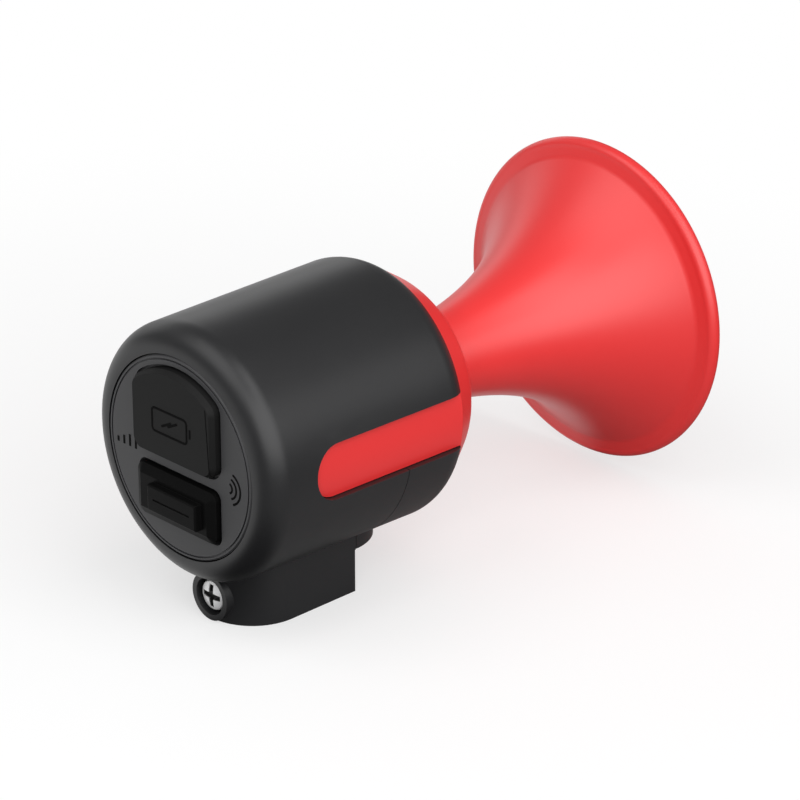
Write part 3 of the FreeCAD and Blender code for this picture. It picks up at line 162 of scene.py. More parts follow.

# %% [markdown]
# A moulding is made a little paler along its edges. This is partly a painted highlight, where a rounded
# edge would catch the light, and partly the rub of hands and bags. The second group finds the edges: it
# compares the true normal with one that is rounded over a small radius. Where the two agree the surface
# is smooth, and where they part there is an edge.

# %% Painted highlight and rub along edges
edges, edges_in, edges_out = new_group(
    "painted_edge_light_and_rub", [("Radius", "NodeSocketFloat", 0.3 * MM)], [("Edge", "NodeSocketFloat")])
rounded = edges.nodes.new("ShaderNodeBevel")
rounded.samples = 6
true_shape = edges.nodes.new("ShaderNodeNewGeometry")
likeness = edges.nodes.new("ShaderNodeVectorMath")
likeness.operation = "DOT_PRODUCT"
spread = edges.nodes.new("ShaderNodeMapRange")
spread.inputs["From Min"].default_value = 0.98
spread.inputs["From Max"].default_value = 0.75
edges.links.new(edges_in.outputs["Radius"], rounded.inputs["Radius"])
edges.links.new(rounded.outputs["Normal"], likeness.inputs[0])
edges.links.new(true_shape.outputs["Normal"], likeness.inputs[1])
edges.links.new(likeness.outputs["Value"], spread.inputs["Value"])
edges.links.new(spread.outputs["Result"], edges_out.inputs["Edge"])
print("group made:", edges.name)


# %% [markdown]
# A finish then is a short recipe: two tones to drift between, the range of its roughness, how deep
# the grain is, and a paler tone for its edges, which is a painted highlight with a little rub. The shader
# itself stays in the material, so that any other program can read it.

# %% A finish from a recipe
def finish(name, tone, drift, roughness, grain_depth, grain_scale=9000.0, edge_tone=None, edge_radius=0.25,
           metallic=0.0, specular=0.5, coat=0.0, sheen=0.0, cloud_scale=60.0):
    """Colour = tone + cloud * (drift - tone), then towards edge_tone by the edge mask.
    Roughness = low + cloud * (high - low). Height = grain * grain_depth in millimetres."""
    material = bpy.data.materials.new(name)
    material.use_nodes = True
    nodes = material.node_tree.nodes
    links = material.node_tree.links
    shader = nodes["Principled BSDF"]
    pattern = nodes.new("ShaderNodeGroup")
    pattern.node_tree = skin
    pattern.inputs["Grain Scale"].default_value = grain_scale
    pattern.inputs["Cloud Scale"].default_value = cloud_scale
    tones = nodes.new("ShaderNodeMix")
    tones.data_type = "RGBA"
    tones.inputs["A"].default_value = (*tone, 1)
    tones.inputs["B"].default_value = (*drift, 1)
    links.new(pattern.outputs["Cloud"], tones.inputs["Factor"])
    colour = tones.outputs["Result"]
    # The edge mask paints a highlight along the edges, together with a little rub.
    if edge_tone is not None:
        edge_light_mask = nodes.new("ShaderNodeGroup")
        edge_light_mask.node_tree = edges
        edge_light_mask.inputs["Radius"].default_value = edge_radius * MM
        edge_light_mix = nodes.new("ShaderNodeMix")
        edge_light_mix.data_type = "RGBA"
        edge_light_mix.inputs["B"].default_value = (*edge_tone, 1)
        links.new(colour, edge_light_mix.inputs["A"])
        links.new(edge_light_mask.outputs["Edge"], edge_light_mix.inputs["Factor"])
        colour = edge_light_mix.outputs["Result"]
    links.new(colour, shader.inputs["Base Color"])
    gloss = nodes.new("ShaderNodeMapRange")
    gloss.inputs["To Min"].default_value = roughness[0]
    gloss.inputs["To Max"].default_value = roughness[1]
    links.new(pattern.outputs["Cloud"], gloss.inputs["Value"])
    links.new(gloss.outputs["Result"], shader.inputs["Roughness"])
    bump = nodes.new("ShaderNodeBump")
    bump.inputs["Strength"].default_value = 1.0
    bump.inputs["Distance"].default_value = grain_depth * MM
    links.new(pattern.outputs["Grain"], bump.inputs["Height"])
    links.new(bump.outputs["Normal"], shader.inputs["Normal"])
    shader.inputs["Metallic"].default_value = metallic
    shader.inputs["Specular IOR Level"].default_value = specular
    shader.inputs["Coat Weight"].default_value = coat
    shader.inputs["Sheen Weight"].default_value = sheen
    return material


# %% [markdown]
# The housing is a matt black moulding with a fine spark-eroded texture. The horn and the inner body
# are one satin red. The cap is dark grey, the charging cover soft black rubber, the key a harder
# black, and the clamp screw bright zinc. Small differences in roughness tell these blacks apart
# better than differences in colour do.

# %% Finishes of the outside
black_plastic = finish("black_plastic", (0.011, 0.011, 0.012), (0.015, 0.015, 0.016), (0.36, 0.42), 0.004,
                       edge_tone=(0.022, 0.022, 0.023))
red_plastic = finish("red_plastic", (0.80, 0.030, 0.030), (0.76, 0.026, 0.027), (0.36, 0.42), 0.0015,
                     edge_tone=(0.84, 0.05, 0.05), grain_scale=6000.0, specular=0.75)
grey_plastic = finish("grey_plastic", (0.038, 0.038, 0.040), (0.045, 0.045, 0.047), (0.48, 0.56), 0.006,
                      edge_tone=(0.075, 0.075, 0.08))
cover_rubber = finish("cover_rubber", (0.007, 0.007, 0.007), (0.010, 0.010, 0.010), (0.58, 0.66), 0.004,
                      specular=0.18)
key_plastic = finish("key_plastic", (0.0028, 0.0028, 0.0028), (0.004, 0.004, 0.004), (0.46, 0.52), 0.003,
                     edge_tone=(0.010, 0.010, 0.010), specular=0.07)
screw_steel = finish("screw_steel", (0.80, 0.80, 0.80), (0.68, 0.68, 0.69), (0.16, 0.26), 0.0008,
                     metallic=1.0, grain_scale=4000.0, cloud_scale=400.0)
bright_zinc = finish("bright_zinc", (0.96, 0.96, 0.96), (0.90, 0.90, 0.91), (0.32, 0.42), 0.0006,
                     metallic=0.45, grain_scale=4000.0, cloud_scale=400.0)
mark_black = finish("mark_black", (0.003, 0.003, 0.003), (0.004, 0.004, 0.004), (0.70, 0.80), 0.002,
                    specular=0.06)
print("outside finishes:", 8)

# %% [markdown]
# What lies inside is seen only through the throat of the horn or the opened charging cover, but it
# gets true finishes too: lacquered copper, a green laminate, plated steel, a wrapped cell, foam.

# %% Finishes of the inside
seal_rubber = finish("seal_rubber", (0.012, 0.012, 0.012), (0.018, 0.018, 0.018), (0.45, 0.55), 0.003)
switch_plastic = finish("switch_plastic", (0.02, 0.02, 0.02), (0.03, 0.03, 0.03), (0.4, 0.5), 0.002)
port_steel = finish("port_steel", (0.62, 0.62, 0.63), (0.52, 0.52, 0.53), (0.22, 0.34), 0.001, metallic=1.0,
                    cloud_scale=500.0)
board_laminate = finish("board_laminate", (0.012, 0.10, 0.035), (0.016, 0.14, 0.05), (0.28, 0.4), 0.003,
                        cloud_scale=300.0)
copper_winding = finish("copper_winding", (0.62, 0.25, 0.10), (0.5, 0.18, 0.07), (0.25, 0.4), 0.01,
                        metallic=1.0, cloud_scale=700.0)
chip_plastic = finish("chip_plastic", (0.015, 0.015, 0.015), (0.022, 0.022, 0.022), (0.5, 0.6), 0.004)
can_aluminium = finish("can_aluminium", (0.62, 0.63, 0.65), (0.5, 0.51, 0.53), (0.25, 0.4), 0.001,
                       metallic=1.0)
cell_jacket = finish("cell_jacket", (0.03, 0.13, 0.36), (0.04, 0.16, 0.42), (0.2, 0.3), 0.001, coat=0.3)
foam = finish("foam", (0.05, 0.05, 0.05), (0.09, 0.09, 0.09), (0.85, 0.95), 0.2, grain_scale=2500.0)
inner_plastic = finish("inner_plastic", (0.03, 0.03, 0.03), (0.04, 0.04, 0.04), (0.45, 0.55), 0.003)
driver_steel = finish("driver_steel", (0.5, 0.5, 0.5), (0.42, 0.42, 0.42), (0.28, 0.42), 0.002, metallic=1.0,
                      cloud_scale=300.0)
magnet = finish("magnet", (0.16, 0.16, 0.17), (0.1, 0.1, 0.11), (0.35, 0.5), 0.006, metallic=0.6)
film = finish("film", (0.5, 0.46, 0.34), (0.6, 0.56, 0.42), (0.15, 0.25), 0.001, cloud_scale=250.0)
felt = finish("felt", (0.02, 0.02, 0.02), (0.04, 0.04, 0.04), (0.9, 1.0), 0.08, grain_scale=3000.0,
              sheen=0.4)
contact_gold = finish("contact_gold", (0.85, 0.60, 0.22), (0.75, 0.5, 0.18), (0.18, 0.28), 0.0005,
                      metallic=1.0)
print("inside finishes:", 15)

# %% [markdown]
# The pieces of the model come as separate triangles, and their rounds would show as facets. Cutting
# them finer would only make the facets smaller. A small geometry node group makes them look like the
# smooth bodies they are: it shades softly across every edge that is nearly flat.

# %% Soft shading for the model's pieces
FLAT_ENOUGH = math.radians(24)
soften = bpy.data.node_groups.new("soft_shading", "GeometryNodeTree")
soften.interface.new_socket("Geometry", in_out="INPUT", socket_type="NodeSocketGeometry")
soften.interface.new_socket("Geometry", in_out="OUTPUT", socket_type="NodeSocketGeometry")
soften_in = soften.nodes.new("NodeGroupInput")
soften_out = soften.nodes.new("NodeGroupOutput")
smooth_faces = soften.nodes.new("GeometryNodeSetShadeSmooth")
smooth_faces.domain = "FACE"
smooth_edges = soften.nodes.new("GeometryNodeSetShadeSmooth")
smooth_edges.domain = "EDGE"
edge_angle = soften.nodes.new("GeometryNodeInputMeshEdgeAngle")
below = soften.nodes.new("FunctionNodeCompare")
below.operation = "LESS_THAN"
below.inputs["B"].default_value = FLAT_ENOUGH
soften.links.new(soften_in.outputs["Geometry"], smooth_faces.inputs["Geometry"])
soften.links.new(smooth_faces.outputs["Geometry"], smooth_edges.inputs["Geometry"])
soften.links.new(edge_angle.outputs["Unsigned Angle"], below.inputs["A"])
soften.links.new(below.outputs["Result"], smooth_edges.inputs["Shade Smooth"])
soften.links.new(smooth_edges.outputs["Geometry"], soften_out.inputs["Geometry"])
print("shading breaks above degrees:", round(math.degrees(FLAT_ENOUGH)))

# %% [markdown]
# Each piece of the model names the kind of material it has, so the finishes are handed out by that
# name. A list of pieces would be longer, and it would have to change with the model. Each piece also
# gets two modifiers: one welds the corners of its triangles, and the other is the soft shading.

# %% Finishes handed out
by_slot = {
    "black_plastic": black_plastic, "red_plastic": red_plastic, "grey_plastic": grey_plastic,
    "cover_rubber": cover_rubber, "seal_rubber": seal_rubber, "key_plastic": key_plastic,
    "switch_plastic": switch_plastic, "port_steel": port_steel, "board_laminate": board_laminate,
    "screw_steel": screw_steel, "copper_winding": copper_winding, "chip_plastic": chip_plastic,
    "can_aluminium": can_aluminium, "cell_jacket": cell_jacket, "foam": foam,
    "inner_plastic": inner_plastic, "driver_steel": driver_steel, "magnet": magnet, "film": film,
    "felt": felt,
}
for subpart in frame["record"]["subparts"]:
    piece = frame["nodes"][subpart["node"]]
    material = by_slot[subpart["material_slot"]]
    if not piece.material_slots:
        piece.data.materials.append(material)
    for holder in piece.material_slots:
        holder.link = "OBJECT"
        holder.material = material
    weld = piece.modifiers.new("weld", "WELD")
    weld.merge_threshold = WELD_DISTANCE
    shading = piece.modifiers.new("soft_shading", "NODES")
    shading.node_group = soften


# %% [markdown]
# ## The horn
# The horn is one red moulding: a spigot that plugs into the nose, a collar, a slim neck that opens
# exponentially, a flat ring round the mouth and a rounded lip outside it, which stiffens the edge.
# Its outline could be drawn with a few bezier handles, but a real horn follows a law, so the outline
# is computed: its slope grows by a fixed share per length. The inner wall is the same curve moved in
# along its normal. The closed outline is then carried round the axis.

# %% Outline of the horn
wall = 1.8 * MM
lip_radius = 1.38 * MM
rim_foot_radius = 26.86 * MM
rim_set_back = 1.93 * MM
flare_rate = 18.4 * MM
neck_radius = 7.24 * MM
spigot_radius = 7.0 * MM
spigot_length = 4.45 * MM
collar_radius = 9.2 * MM
collar_thickness = 0.7 * MM
collar_bulge = 0.45 * MM
neck_set_out = 2.95 * MM
collar_front = neck_low.x + spigot_length + collar_thickness
neck_start = neck_low.x + spigot_length + neck_set_out
lip_place = bell_high.x - lip_radius
lip_centre_radius = (bell_high.z - bell_low.z) / 2 - lip_radius
WALL_POINTS, LIP_POINTS = 120, 48


def arc(centre, radius, start, end, count):
    """centre + radius * (cos a, sin a), with a going from start to end."""
    angle = np.linspace(start, end, count)
    return np.stack([centre[0] + radius * np.cos(angle), centre[1] + radius * np.sin(angle)], axis=1)


def horn_wall(count):
    """Outer wall: r = neck + swell * (exp(s / rate) - 1). Inner wall: the same, less wall * normal."""
    length = lip_place - rim_set_back - neck_start
    swell = (rim_foot_radius - neck_radius) / math.expm1(length / flare_rate)
    s = np.linspace(0, length, count)
    slope = swell / flare_rate * np.exp(s / flare_rate)
    outer = np.stack([neck_start + s, neck_radius + swell * np.expm1(s / flare_rate)], axis=1)
    normal = np.stack([-slope, np.ones_like(slope)], axis=1) / np.hypot(1, slope)[:, None]
    return outer, outer - wall * normal


outer_wall, inner_wall = horn_wall(WALL_POINTS)
lip = arc((lip_place, lip_centre_radius), lip_radius, math.pi, -math.pi / 2, LIP_POINTS)
print("lip centred at radius mm:", round(lip_centre_radius / MM, 2))
print("neck starts at mm:", round(neck_start / MM, 2))


# %% [markdown]
# The collar doesn't meet the neck at a corner: a small rounded shoulder leads from one to the other.
# A true arc would need a centre and two angles. A bowed line needs only its ends and how far its middle
# is pushed out. The closed outline then goes round the axis, with its first row joined to its last.

# %% The horn itself
ROUND_STEPS = 224


def bowed(start, end, bow, count):
    """start + t * (end - start) + bow * 4 t (1 - t) * normal, with t from 0 to 1."""
    t = np.linspace(0, 1, count)[:, None]
    along = end - start
    normal = np.array([-along[1], along[0]]) / np.hypot(*along)
    return start + t * along + bow * 4 * t * (1 - t) * normal


def straight(points, step=1.2 * MM):
    """Points along a chain of straight runs, with extra points where a run is long."""
    runs = []
    for start, end in zip(points, points[1:]):
        count = max(2, int(math.dist(start, end) / step) + 1)
        runs.append(np.linspace(start, end, count))
    return np.concatenate(runs)


def turned(profile, steps=ROUND_STEPS, height=0.0):
    """S(i, a) = (x_i, r_i * sin a, axis height + r_i * cos a) for each point (x, r) of the outline."""
    angle = np.arange(steps) * TURN / steps
    x = np.repeat(profile[:, :1], steps, axis=1)
    y = profile[:, 1:] * np.sin(angle)
    z = profile[:, 1:] * np.cos(angle) + height
    return np.stack([x, y, z], axis=-1)


bore_radius = inner_wall[0][1]
spigot_end = neck_low.x + spigot_length
spigot = straight([(neck_low.x, bore_radius), (neck_low.x, spigot_radius), (spigot_end, spigot_radius),
                   (spigot_end, collar_radius), (collar_front, collar_radius)])
collar_curve = bowed(np.array([collar_front, collar_radius]), outer_wall[0], collar_bulge, 12)
flat_ring = bowed(outer_wall[-1], lip[0], 0.0, 5)
mouth_edge = bowed(lip[-1], inner_wall[-1], 0.0, 6)
bore = straight([inner_wall[0], (neck_low.x, bore_radius)])
horn_outline = np.concatenate([spigot, collar_curve[1:], outer_wall[1:], flat_ring[1:], lip[1:],
                               mouth_edge[1:], inner_wall[::-1][1:], bore[1:-1]])
horn = grid_piece("horn", turned(horn_outline, height=axis_height), close_rows=True)
horn.data.materials.append(red_plastic)
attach(horn, "housing")
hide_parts("horn_neck", "horn_bell")


# %% [markdown]
# ## The clamp screw
# A pan head with a cross recess and a fine thread at its free end. The shade that falls in the recess
# is painted into the zinc: its colour is darker there and its metal is turned down. A mask painted on
# would need an image. Here each point of the screw carries a number that says how far it is inside the
# cross, and the finish reads that number.

# %% Painted shade in the recess
def paint_shade_by_attribute(material, attribute, dark):
    """Colour = colour + attribute * (dark - colour), metal = metal * (1 - attribute)."""
    nodes = material.node_tree.nodes
    links = material.node_tree.links
    shader = nodes["Principled BSDF"]
    place = nodes.new("ShaderNodeAttribute")
    place.attribute_name = attribute
    tones = nodes.new("ShaderNodeMix")
    tones.data_type = "RGBA"
    tones.inputs["B"].default_value = (*dark, 1)
    links.new(shader.inputs["Base Color"].links[0].from_socket, tones.inputs["A"])
    links.new(place.outputs["Fac"], tones.inputs["Factor"])
    links.new(tones.outputs["Result"], shader.inputs["Base Color"])
    metal = nodes.new("ShaderNodeMapRange")
    metal.inputs["To Min"].default_value = shader.inputs["Metallic"].default_value
    metal.inputs["To Max"].default_value = 0.0
    links.new(place.outputs["Fac"], metal.inputs["Value"])
    links.new(metal.outputs["Result"], shader.inputs["Metallic"])


# Painted shade of the recess: a dark colour and less metal where the attribute is high.
paint_shade_by_attribute(bright_zinc, "recess", (0.012, 0.012, 0.012))
print("darker in the recess:", bright_zinc.name)

# %% [markdown]
# A screw is often modelled as a cylinder with cuts, and then the edges need bevels one by one. Here it
# is one surface, from the middle of the head to the tip. The head's face is a height over a round
# field: a low dome, sunk where the cross is. Its points crowd towards the rim, where the arms end.

# %% Head of the screw
screw_low, screw_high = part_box("clamp_screw")
screw_height = (screw_low.z + screw_high.z) / 2
head_radius = 2.8 * MM
face_share = 0.86
dome_height = 0.32 * MM
dome_power = 2.4
SCREW_STEPS, FACE_ROWS = 360, 110
SLOT_HALF_WIDTH, SLOT_TAPER = 0.60, 0.06
SLOT_DEPTH, SLOT_RISE = 1.0, 0.2
SLOT_REACH = 2.1
SLOT_SIDE, SLOT_END = 0.09, 0.12


def smooth_step(value, low, high):
    """3 t^2 - 2 t^3, with t = (value - low) / (high - low) kept between 0 and 1."""
    t = np.clip((value - low) / (high - low), 0, 1)
    return t * t * (3 - 2 * t)


def cross_field(y, z):
    """How far a point is inside the cross, from 0 to 1, and the depth there. Each slot narrows outwards:
    half width = start - taper * distance, depth = start - rise * distance, in millimetres."""
    field = np.zeros_like(y)
    depth = np.zeros_like(y)
    for across, along in ((y, z), (z, y)):
        far = np.abs(along) / MM
        inside = smooth_step(SLOT_HALF_WIDTH - SLOT_TAPER * far - np.abs(across) / MM, 0.0, SLOT_SIDE)
        slot = inside * smooth_step(SLOT_REACH - far, 0.0, SLOT_END)
        field = np.maximum(field, slot)
        depth = np.maximum(depth, slot * (SLOT_DEPTH - SLOT_RISE * far) * MM)
    return field, depth


radii = head_radius * np.sqrt(np.linspace(0, 1, FACE_ROWS)) * face_share
radii[0] = 0.0
around = np.arange(SCREW_STEPS) * TURN / SCREW_STEPS
head_y = radii[:, None] * np.sin(around)
head_z = radii[:, None] * np.cos(around)
dome = dome_height * (radii / (face_share * head_radius)) ** dome_power
recess_depth = cross_field(head_y, head_z)[1]
head_x = screw_low.x + dome[:, None] + recess_depth
head_face = np.stack([head_x, head_y, head_z + screw_height], axis=-1)
print("head face points:", head_face.shape[:2])

# %% [markdown]
# From the face the outline runs over a rounded shoulder, under the head and along the shank. A real
# thread is rolled, which pushes the metal up into crests, so it stands out from the plain shank. A coil
# swept along a helix would have to be joined to the shank. Here the radius itself ripples, and the
# ripple moves on by one pitch each turn.

# %% Shoulder, shank and thread
head_height = 1.9 * MM
shoulder_drop = 0.85 * MM
shank_radius = 1.2 * MM
thread_radius = 1.5 * MM
thread_length = 5.0 * MM
tip_cut = 0.5 * MM
pitch = 0.5 * MM
thread_depth = 0.27 * MM
SHOULDER_ROWS, THREAD_ROWS = 12, 110
head_seat = screw_low.x + head_height
thread_start = screw_high.x - thread_length
shoulder_turn = np.linspace(0, math.pi / 2, SHOULDER_ROWS)
edge_x = screw_low.x + dome[-1]
shoulder_r = face_share * head_radius + (1 - face_share) * head_radius * np.sin(shoulder_turn)
shoulder_x = edge_x + shoulder_drop * (1 - np.cos(shoulder_turn))
lower = straight([(shoulder_x[-1], head_radius), (head_seat, head_radius), (head_seat, shank_radius),
                  (thread_start, shank_radius)])
body_outline = np.concatenate([np.stack([shoulder_x, shoulder_r], axis=1)[1:], lower[1:]])
body_rows = turned(body_outline, SCREW_STEPS, screw_height)
thread_x = np.linspace(thread_start, screw_high.x, THREAD_ROWS)[:, None]
phase = (thread_x / pitch - around / TURN) % 1.0
ripple = 1 - np.abs(2 * phase - 1)
run_in = smooth_step(thread_x, thread_start, thread_start + pitch)
chamfer = np.clip((thread_x - screw_high.x + tip_cut) / tip_cut, 0, 1) * tip_cut
thread_r = np.minimum(thread_radius - thread_depth * (1 - ripple) * run_in, thread_radius - chamfer)
thread_rows = np.stack([thread_x + 0 * around, thread_r * np.sin(around),
                        thread_r * np.cos(around) + screw_height], axis=-1)
end_outline = np.array([(screw_high.x, 0.5 * thread_radius), (screw_high.x, 0.0)])
end_rows = turned(end_outline, SCREW_STEPS, screw_height)
print("thread turns:", round(thread_length / pitch))

# %% [markdown]
# The four parts share their steps round the axis, so they join to one grid. The number that paints shade
# into the recess is worked out again on the finished mesh, because welding has changed the order of its
# points.

# %% The screw in one piece
RECESS_CONTRAST = 6
screw_grid = np.concatenate([head_face, body_rows, thread_rows, end_rows])
new_screw = grid_piece("clamp_screw_threaded", screw_grid)
corner_places = np.empty(3 * len(new_screw.data.vertices))
new_screw.data.vertices.foreach_get("co", corner_places)
corner_x, corner_y, corner_z = corner_places.reshape(-1, 3).T
in_cross = cross_field(corner_y, corner_z - screw_height)[0]
# Painted shade in the cross: the mask rises steeply, so that the recess walls are dark from the top.
shade = np.clip(RECESS_CONTRAST * in_cross, 0, 1) * (corner_x < head_seat)
new_screw.data.attributes.new("recess", "FLOAT", "POINT").data.foreach_set("value", shade)
new_screw.data.materials.append(bright_zinc)
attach(new_screw, "housing")
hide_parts("clamp_screw")


# %% [markdown]
# ## Marks on the cap
# The cap carries small raised signs. Here they are plain ones: a battery with a bolt for the charging
# cover, four rising bars on one side, and three sound waves on the other. Text or flat curves could
# give their outlines, but the real strokes are low rounded ridges. So each is a half-round section
# carried along a path, and closed at its ends.

# %% Strokes
RIDGE_SINK = 0.05 * MM
RIDGE_POINTS, RIDGE_POWER = 7, 0.6


def closed_ends(rows):
    """The rows with one more at each end, whose points all lie in the middle of the row beside it."""
    count = rows.shape[1]
    start, end = (row.mean(axis=1, keepdims=True).repeat(count, axis=1) for row in (rows[:1], rows[-1:]))
    return np.concatenate([start, rows, end])


def sideways(path, closed=False):
    """The direction across a flat path: the path's own direction, turned by 90 degrees."""
    if closed:
        ahead = np.roll(path, -1, axis=0) - np.roll(path, 1, axis=0)
    else:
        ahead = np.gradient(path, axis=0)
    ahead /= np.hypot(ahead[:, 0], ahead[:, 1])[:, None]
    return np.stack([-ahead[:, 1], ahead[:, 0]], axis=1)


def ridge(path, width, height, base_x, closed=False):
    """Section (width / 2 * cos a, height * (sin a) ^ power), a from 0 to half a turn, carried along a
    path in the cap's plane and standing across it. Its two feet are sunk a little below the face."""
    angle = np.linspace(0, math.pi, RIDGE_POINTS)
    across = np.concatenate([[1.0], np.cos(angle), [-1.0]]) * width / 2
    lift = np.concatenate([[-RIDGE_SINK], height * np.sin(angle) ** RIDGE_POWER, [-RIDGE_SINK]])
    yz = path[:, None, :] + sideways(path, closed)[:, None, :] * across[None, :, None]
    x = base_x - np.broadcast_to(lift, yz.shape[:2])
    rows = np.stack([x, yz[..., 0], yz[..., 1]], axis=-1)
    return rows if closed else closed_ends(rows)


def joined_ridges(name, ridges, material, body):
    """One object that rides on a body, from several grids, each (rows, closed)."""
    points = []
    faces = []
    start = 0
    for rows, closed in ridges:
        count_u, count_v = rows.shape[:2]
        faces.append(grid_faces(count_u, count_v, closed, True) + start)
        points.append(rows.reshape(-1, 3))
        start += count_u * count_v
    piece = mesh_piece(name, np.concatenate(points), np.concatenate(faces))
    piece.data.materials.append(material)
    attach(piece, body)


def line(points, step=0.25 * MM):
    """A chain of straight runs with a point every step."""
    return straight([tuple(p) for p in points], step)


def rounded_frame(centre, half_width, half_height, corner, count=8):
    """The outline of a rounded rectangle: four quarter circles joined by straight runs."""
    corners = [(1, 1, 0.0), (-1, 1, 0.25), (-1, -1, 0.5), (1, -1, 0.75)]
    arcs = [arc((centre[0] + sx * (half_width - corner), centre[1] + sy * (half_height - corner)), corner,
                turn * TURN, (turn + 0.25) * TURN, count) for sx, sy, turn in corners]
    return np.concatenate(arcs)


print("strokes sink in by mm:", round(RIDGE_SINK / MM, 2))

# %% [markdown]
# The cover's sign is a battery with its nub and a bolt in it. A fine line near the cover's free edge
# shows where the rubber folds when a finger lifts it. The line's dark colour is painted shade of that
# fold, on a ridge too low to cast any. All of it is one object that rides on the cover, so that it opens
# with it.

# %% Sign on the cover
MARK_HEIGHT = 0.09 * MM
SIGN_STROKE, BOLT_STROKE, FOLD_STROKE = 0.42 * MM, 0.46 * MM, 0.22 * MM
FOLD_HEIGHT = 0.5 * MARK_HEIGHT
cover_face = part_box("usb_cover")[0].x
sign_centre = np.array([0.3 * MM, axis_height + 6.4 * MM])
nub_ends = [(-5.1, -0.8), (-5.1, 0.8)]
bolt_corners = [(-1.9, 0.75), (0.35, -0.4), (-0.35, 0.4), (1.9, -0.75)]
battery = rounded_frame(sign_centre, 4.3 * MM, 2.1 * MM, 0.7 * MM)
nub = line([sign_centre + np.array(p) * MM for p in nub_ends])
bolt = line([sign_centre + np.array(p) * MM for p in bolt_corners], 0.15 * MM)
# Painted shade of the fold: a low ridge in the marks' black.
fold = line([(-8.72 * MM, 44.0 * MM), (-9.5 * MM, 32.1 * MM)])
cover_strokes = [(ridge(battery, SIGN_STROKE, MARK_HEIGHT, cover_face, closed=True), True),
                 (ridge(nub, SIGN_STROKE, MARK_HEIGHT, cover_face), False),
                 (ridge(bolt, BOLT_STROKE, MARK_HEIGHT, cover_face), False),
                 (ridge(fold, FOLD_STROKE, FOLD_HEIGHT, cover_face), False)]
joined_ridges("cover_sign", cover_strokes, mark_black, "cover")

# %% [markdown]
# On the cap itself stand the rising bars, on its far side, and the sound waves, on its near side. The
# bars differ only in place and height, and the waves only in radius. So each sign is a short list of
# numbers, and not a set of curves drawn one by one.

# %% Signs on the cap
BAR_STROKE, WAVE_STROKE = 0.5 * MM, 0.4 * MM
BAR_FOOT = 1.9
WAVE_RADII = (0.9, 1.9, 2.9)
cap_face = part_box("end_cap")[0].x
bar_places = [(15.6, 0.9), (14.1, 1.5), (12.6, 2.1), (11.1, 2.7)]
bar_lines = [line([(y * MM, axis_height - BAR_FOOT * MM), (y * MM, axis_height + (tall - BAR_FOOT) * MM)])
             for y, tall in bar_places]
bars = [(ridge(path, BAR_STROKE, MARK_HEIGHT, cap_face), False) for path in bar_lines]
joined_ridges("level_sign", bars, mark_black, "housing")
wave_centre = np.array([-12.2 * MM, axis_height - 1.2 * MM])
wave_opening = 0.75 * math.pi / 2
wave_lines = [arc(wave_centre, radius * MM, -wave_opening + math.pi, wave_opening + math.pi, 14)
              for radius in WAVE_RADII]
waves = [(ridge(path, WAVE_STROKE, MARK_HEIGHT, cap_face), False) for path in wave_lines]
joined_ridges("wave_sign", waves, mark_black, "housing")


# %% [markdown]
# ## What the open cover shows
# The rubber cover hangs on a tether. Between the two runs a thin web of the same rubber, which bends
# as the cover opens. A rigid strip would tear away from one of them. This one is a flat section with
# rounded corners carried along a short path.

# %% The rubber web
tether_low, tether_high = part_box("cover_tether")
WEB_STEPS = 16
THICK_POWER, WIDE_POWER = 0.5, 0.15
web_margin = 0.2 * MM
web_half = (tether_high.z - tether_low.z) / 2 - web_margin
web_middle = (tether_high.z + tether_low.z) / 2
web_thickness = 0.34 * MM
web_x = tether_low.x - 0.15 * MM
web_bends = [(web_x, 9.6 * MM), (web_x, 10.25 * MM), (web_x + 0.02 * MM, 10.6 * MM),
             (web_x + 0.4 * MM, 10.68 * MM)]
route = line(web_bends, 0.08 * MM)

# Section: (half thickness * (cos a) ^ power, half width * (sin a) ^ power), with the signs kept.
web_angle = np.arange(WEB_STEPS) * TURN / WEB_STEPS
thick = web_thickness / 2 * np.sign(np.cos(web_angle)) * np.abs(np.cos(web_angle)) ** THICK_POWER
wide = web_half * np.sign(np.sin(web_angle)) * np.abs(np.sin(web_angle)) ** WIDE_POWER
web_xy = route[:, None, :] + sideways(route)[:, None, :] * thick[None, :, None]
web_rows = np.concatenate([web_xy, np.broadcast_to(web_middle + wide, web_xy.shape[:2])[..., None]], axis=-1)
web = grid_piece("cover_web", closed_ends(web_rows))
web.data.materials.append(cover_rubber)
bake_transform(web)

# %% [markdown]
# Under the cover lies the charging port, with its tongue in the middle. Twelve gilt contacts lie
# on each face of the tongue, the thin strips that a plug touches. They could be painted on, but real
# ones stand a little proud and catch the light, so each is a low block of its own.

# %% Contacts of the port
tongue_low, tongue_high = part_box("usb_port_tongue")
CONTACTS_A_SIDE = 12
CONTACT_HALF_WIDTH, CONTACT_SINK, CONTACT_RISE = 0.13 * MM, 0.03 * MM, 0.04 * MM
contact_margin = 0.35 * MM
contact_places = np.linspace(tongue_low.y + contact_margin, tongue_high.y - contact_margin, CONTACTS_A_SIDE)
contact_start, contact_end = tongue_low.x + 0.3 * MM, tongue_low.x + 3.2 * MM


def contact(y, z, face):
    """A flat strip: four corners carried from its foot in the tongue to its top, then closed to a point."""
    x = np.array([contact_start, contact_end, contact_end, contact_start])
    ys = y + CONTACT_HALF_WIDTH * np.array([-1, -1, 1, 1])
    levels = [z - face * CONTACT_SINK, z + face * CONTACT_RISE]
    return closed_ends(np.stack([np.stack([x, ys, np.full(4, level)], axis=1) for level in levels]))


tongue_faces = ((tongue_high.z, 1), (tongue_low.z, -1))
strips = [(contact(y, z, face), False) for y in contact_places for z, face in tongue_faces]
joined_ridges("port_contacts", strips, contact_gold, "housing")


# %% [markdown]
# ## The studio
# A pale floor takes the horn's shadow. It lies in the plane of the clamp block's flat base. A curved
# backdrop is the usual way to hide the floor's edge. Here a plain plane is enough, because it is far
# larger than the picture and turns white further out.

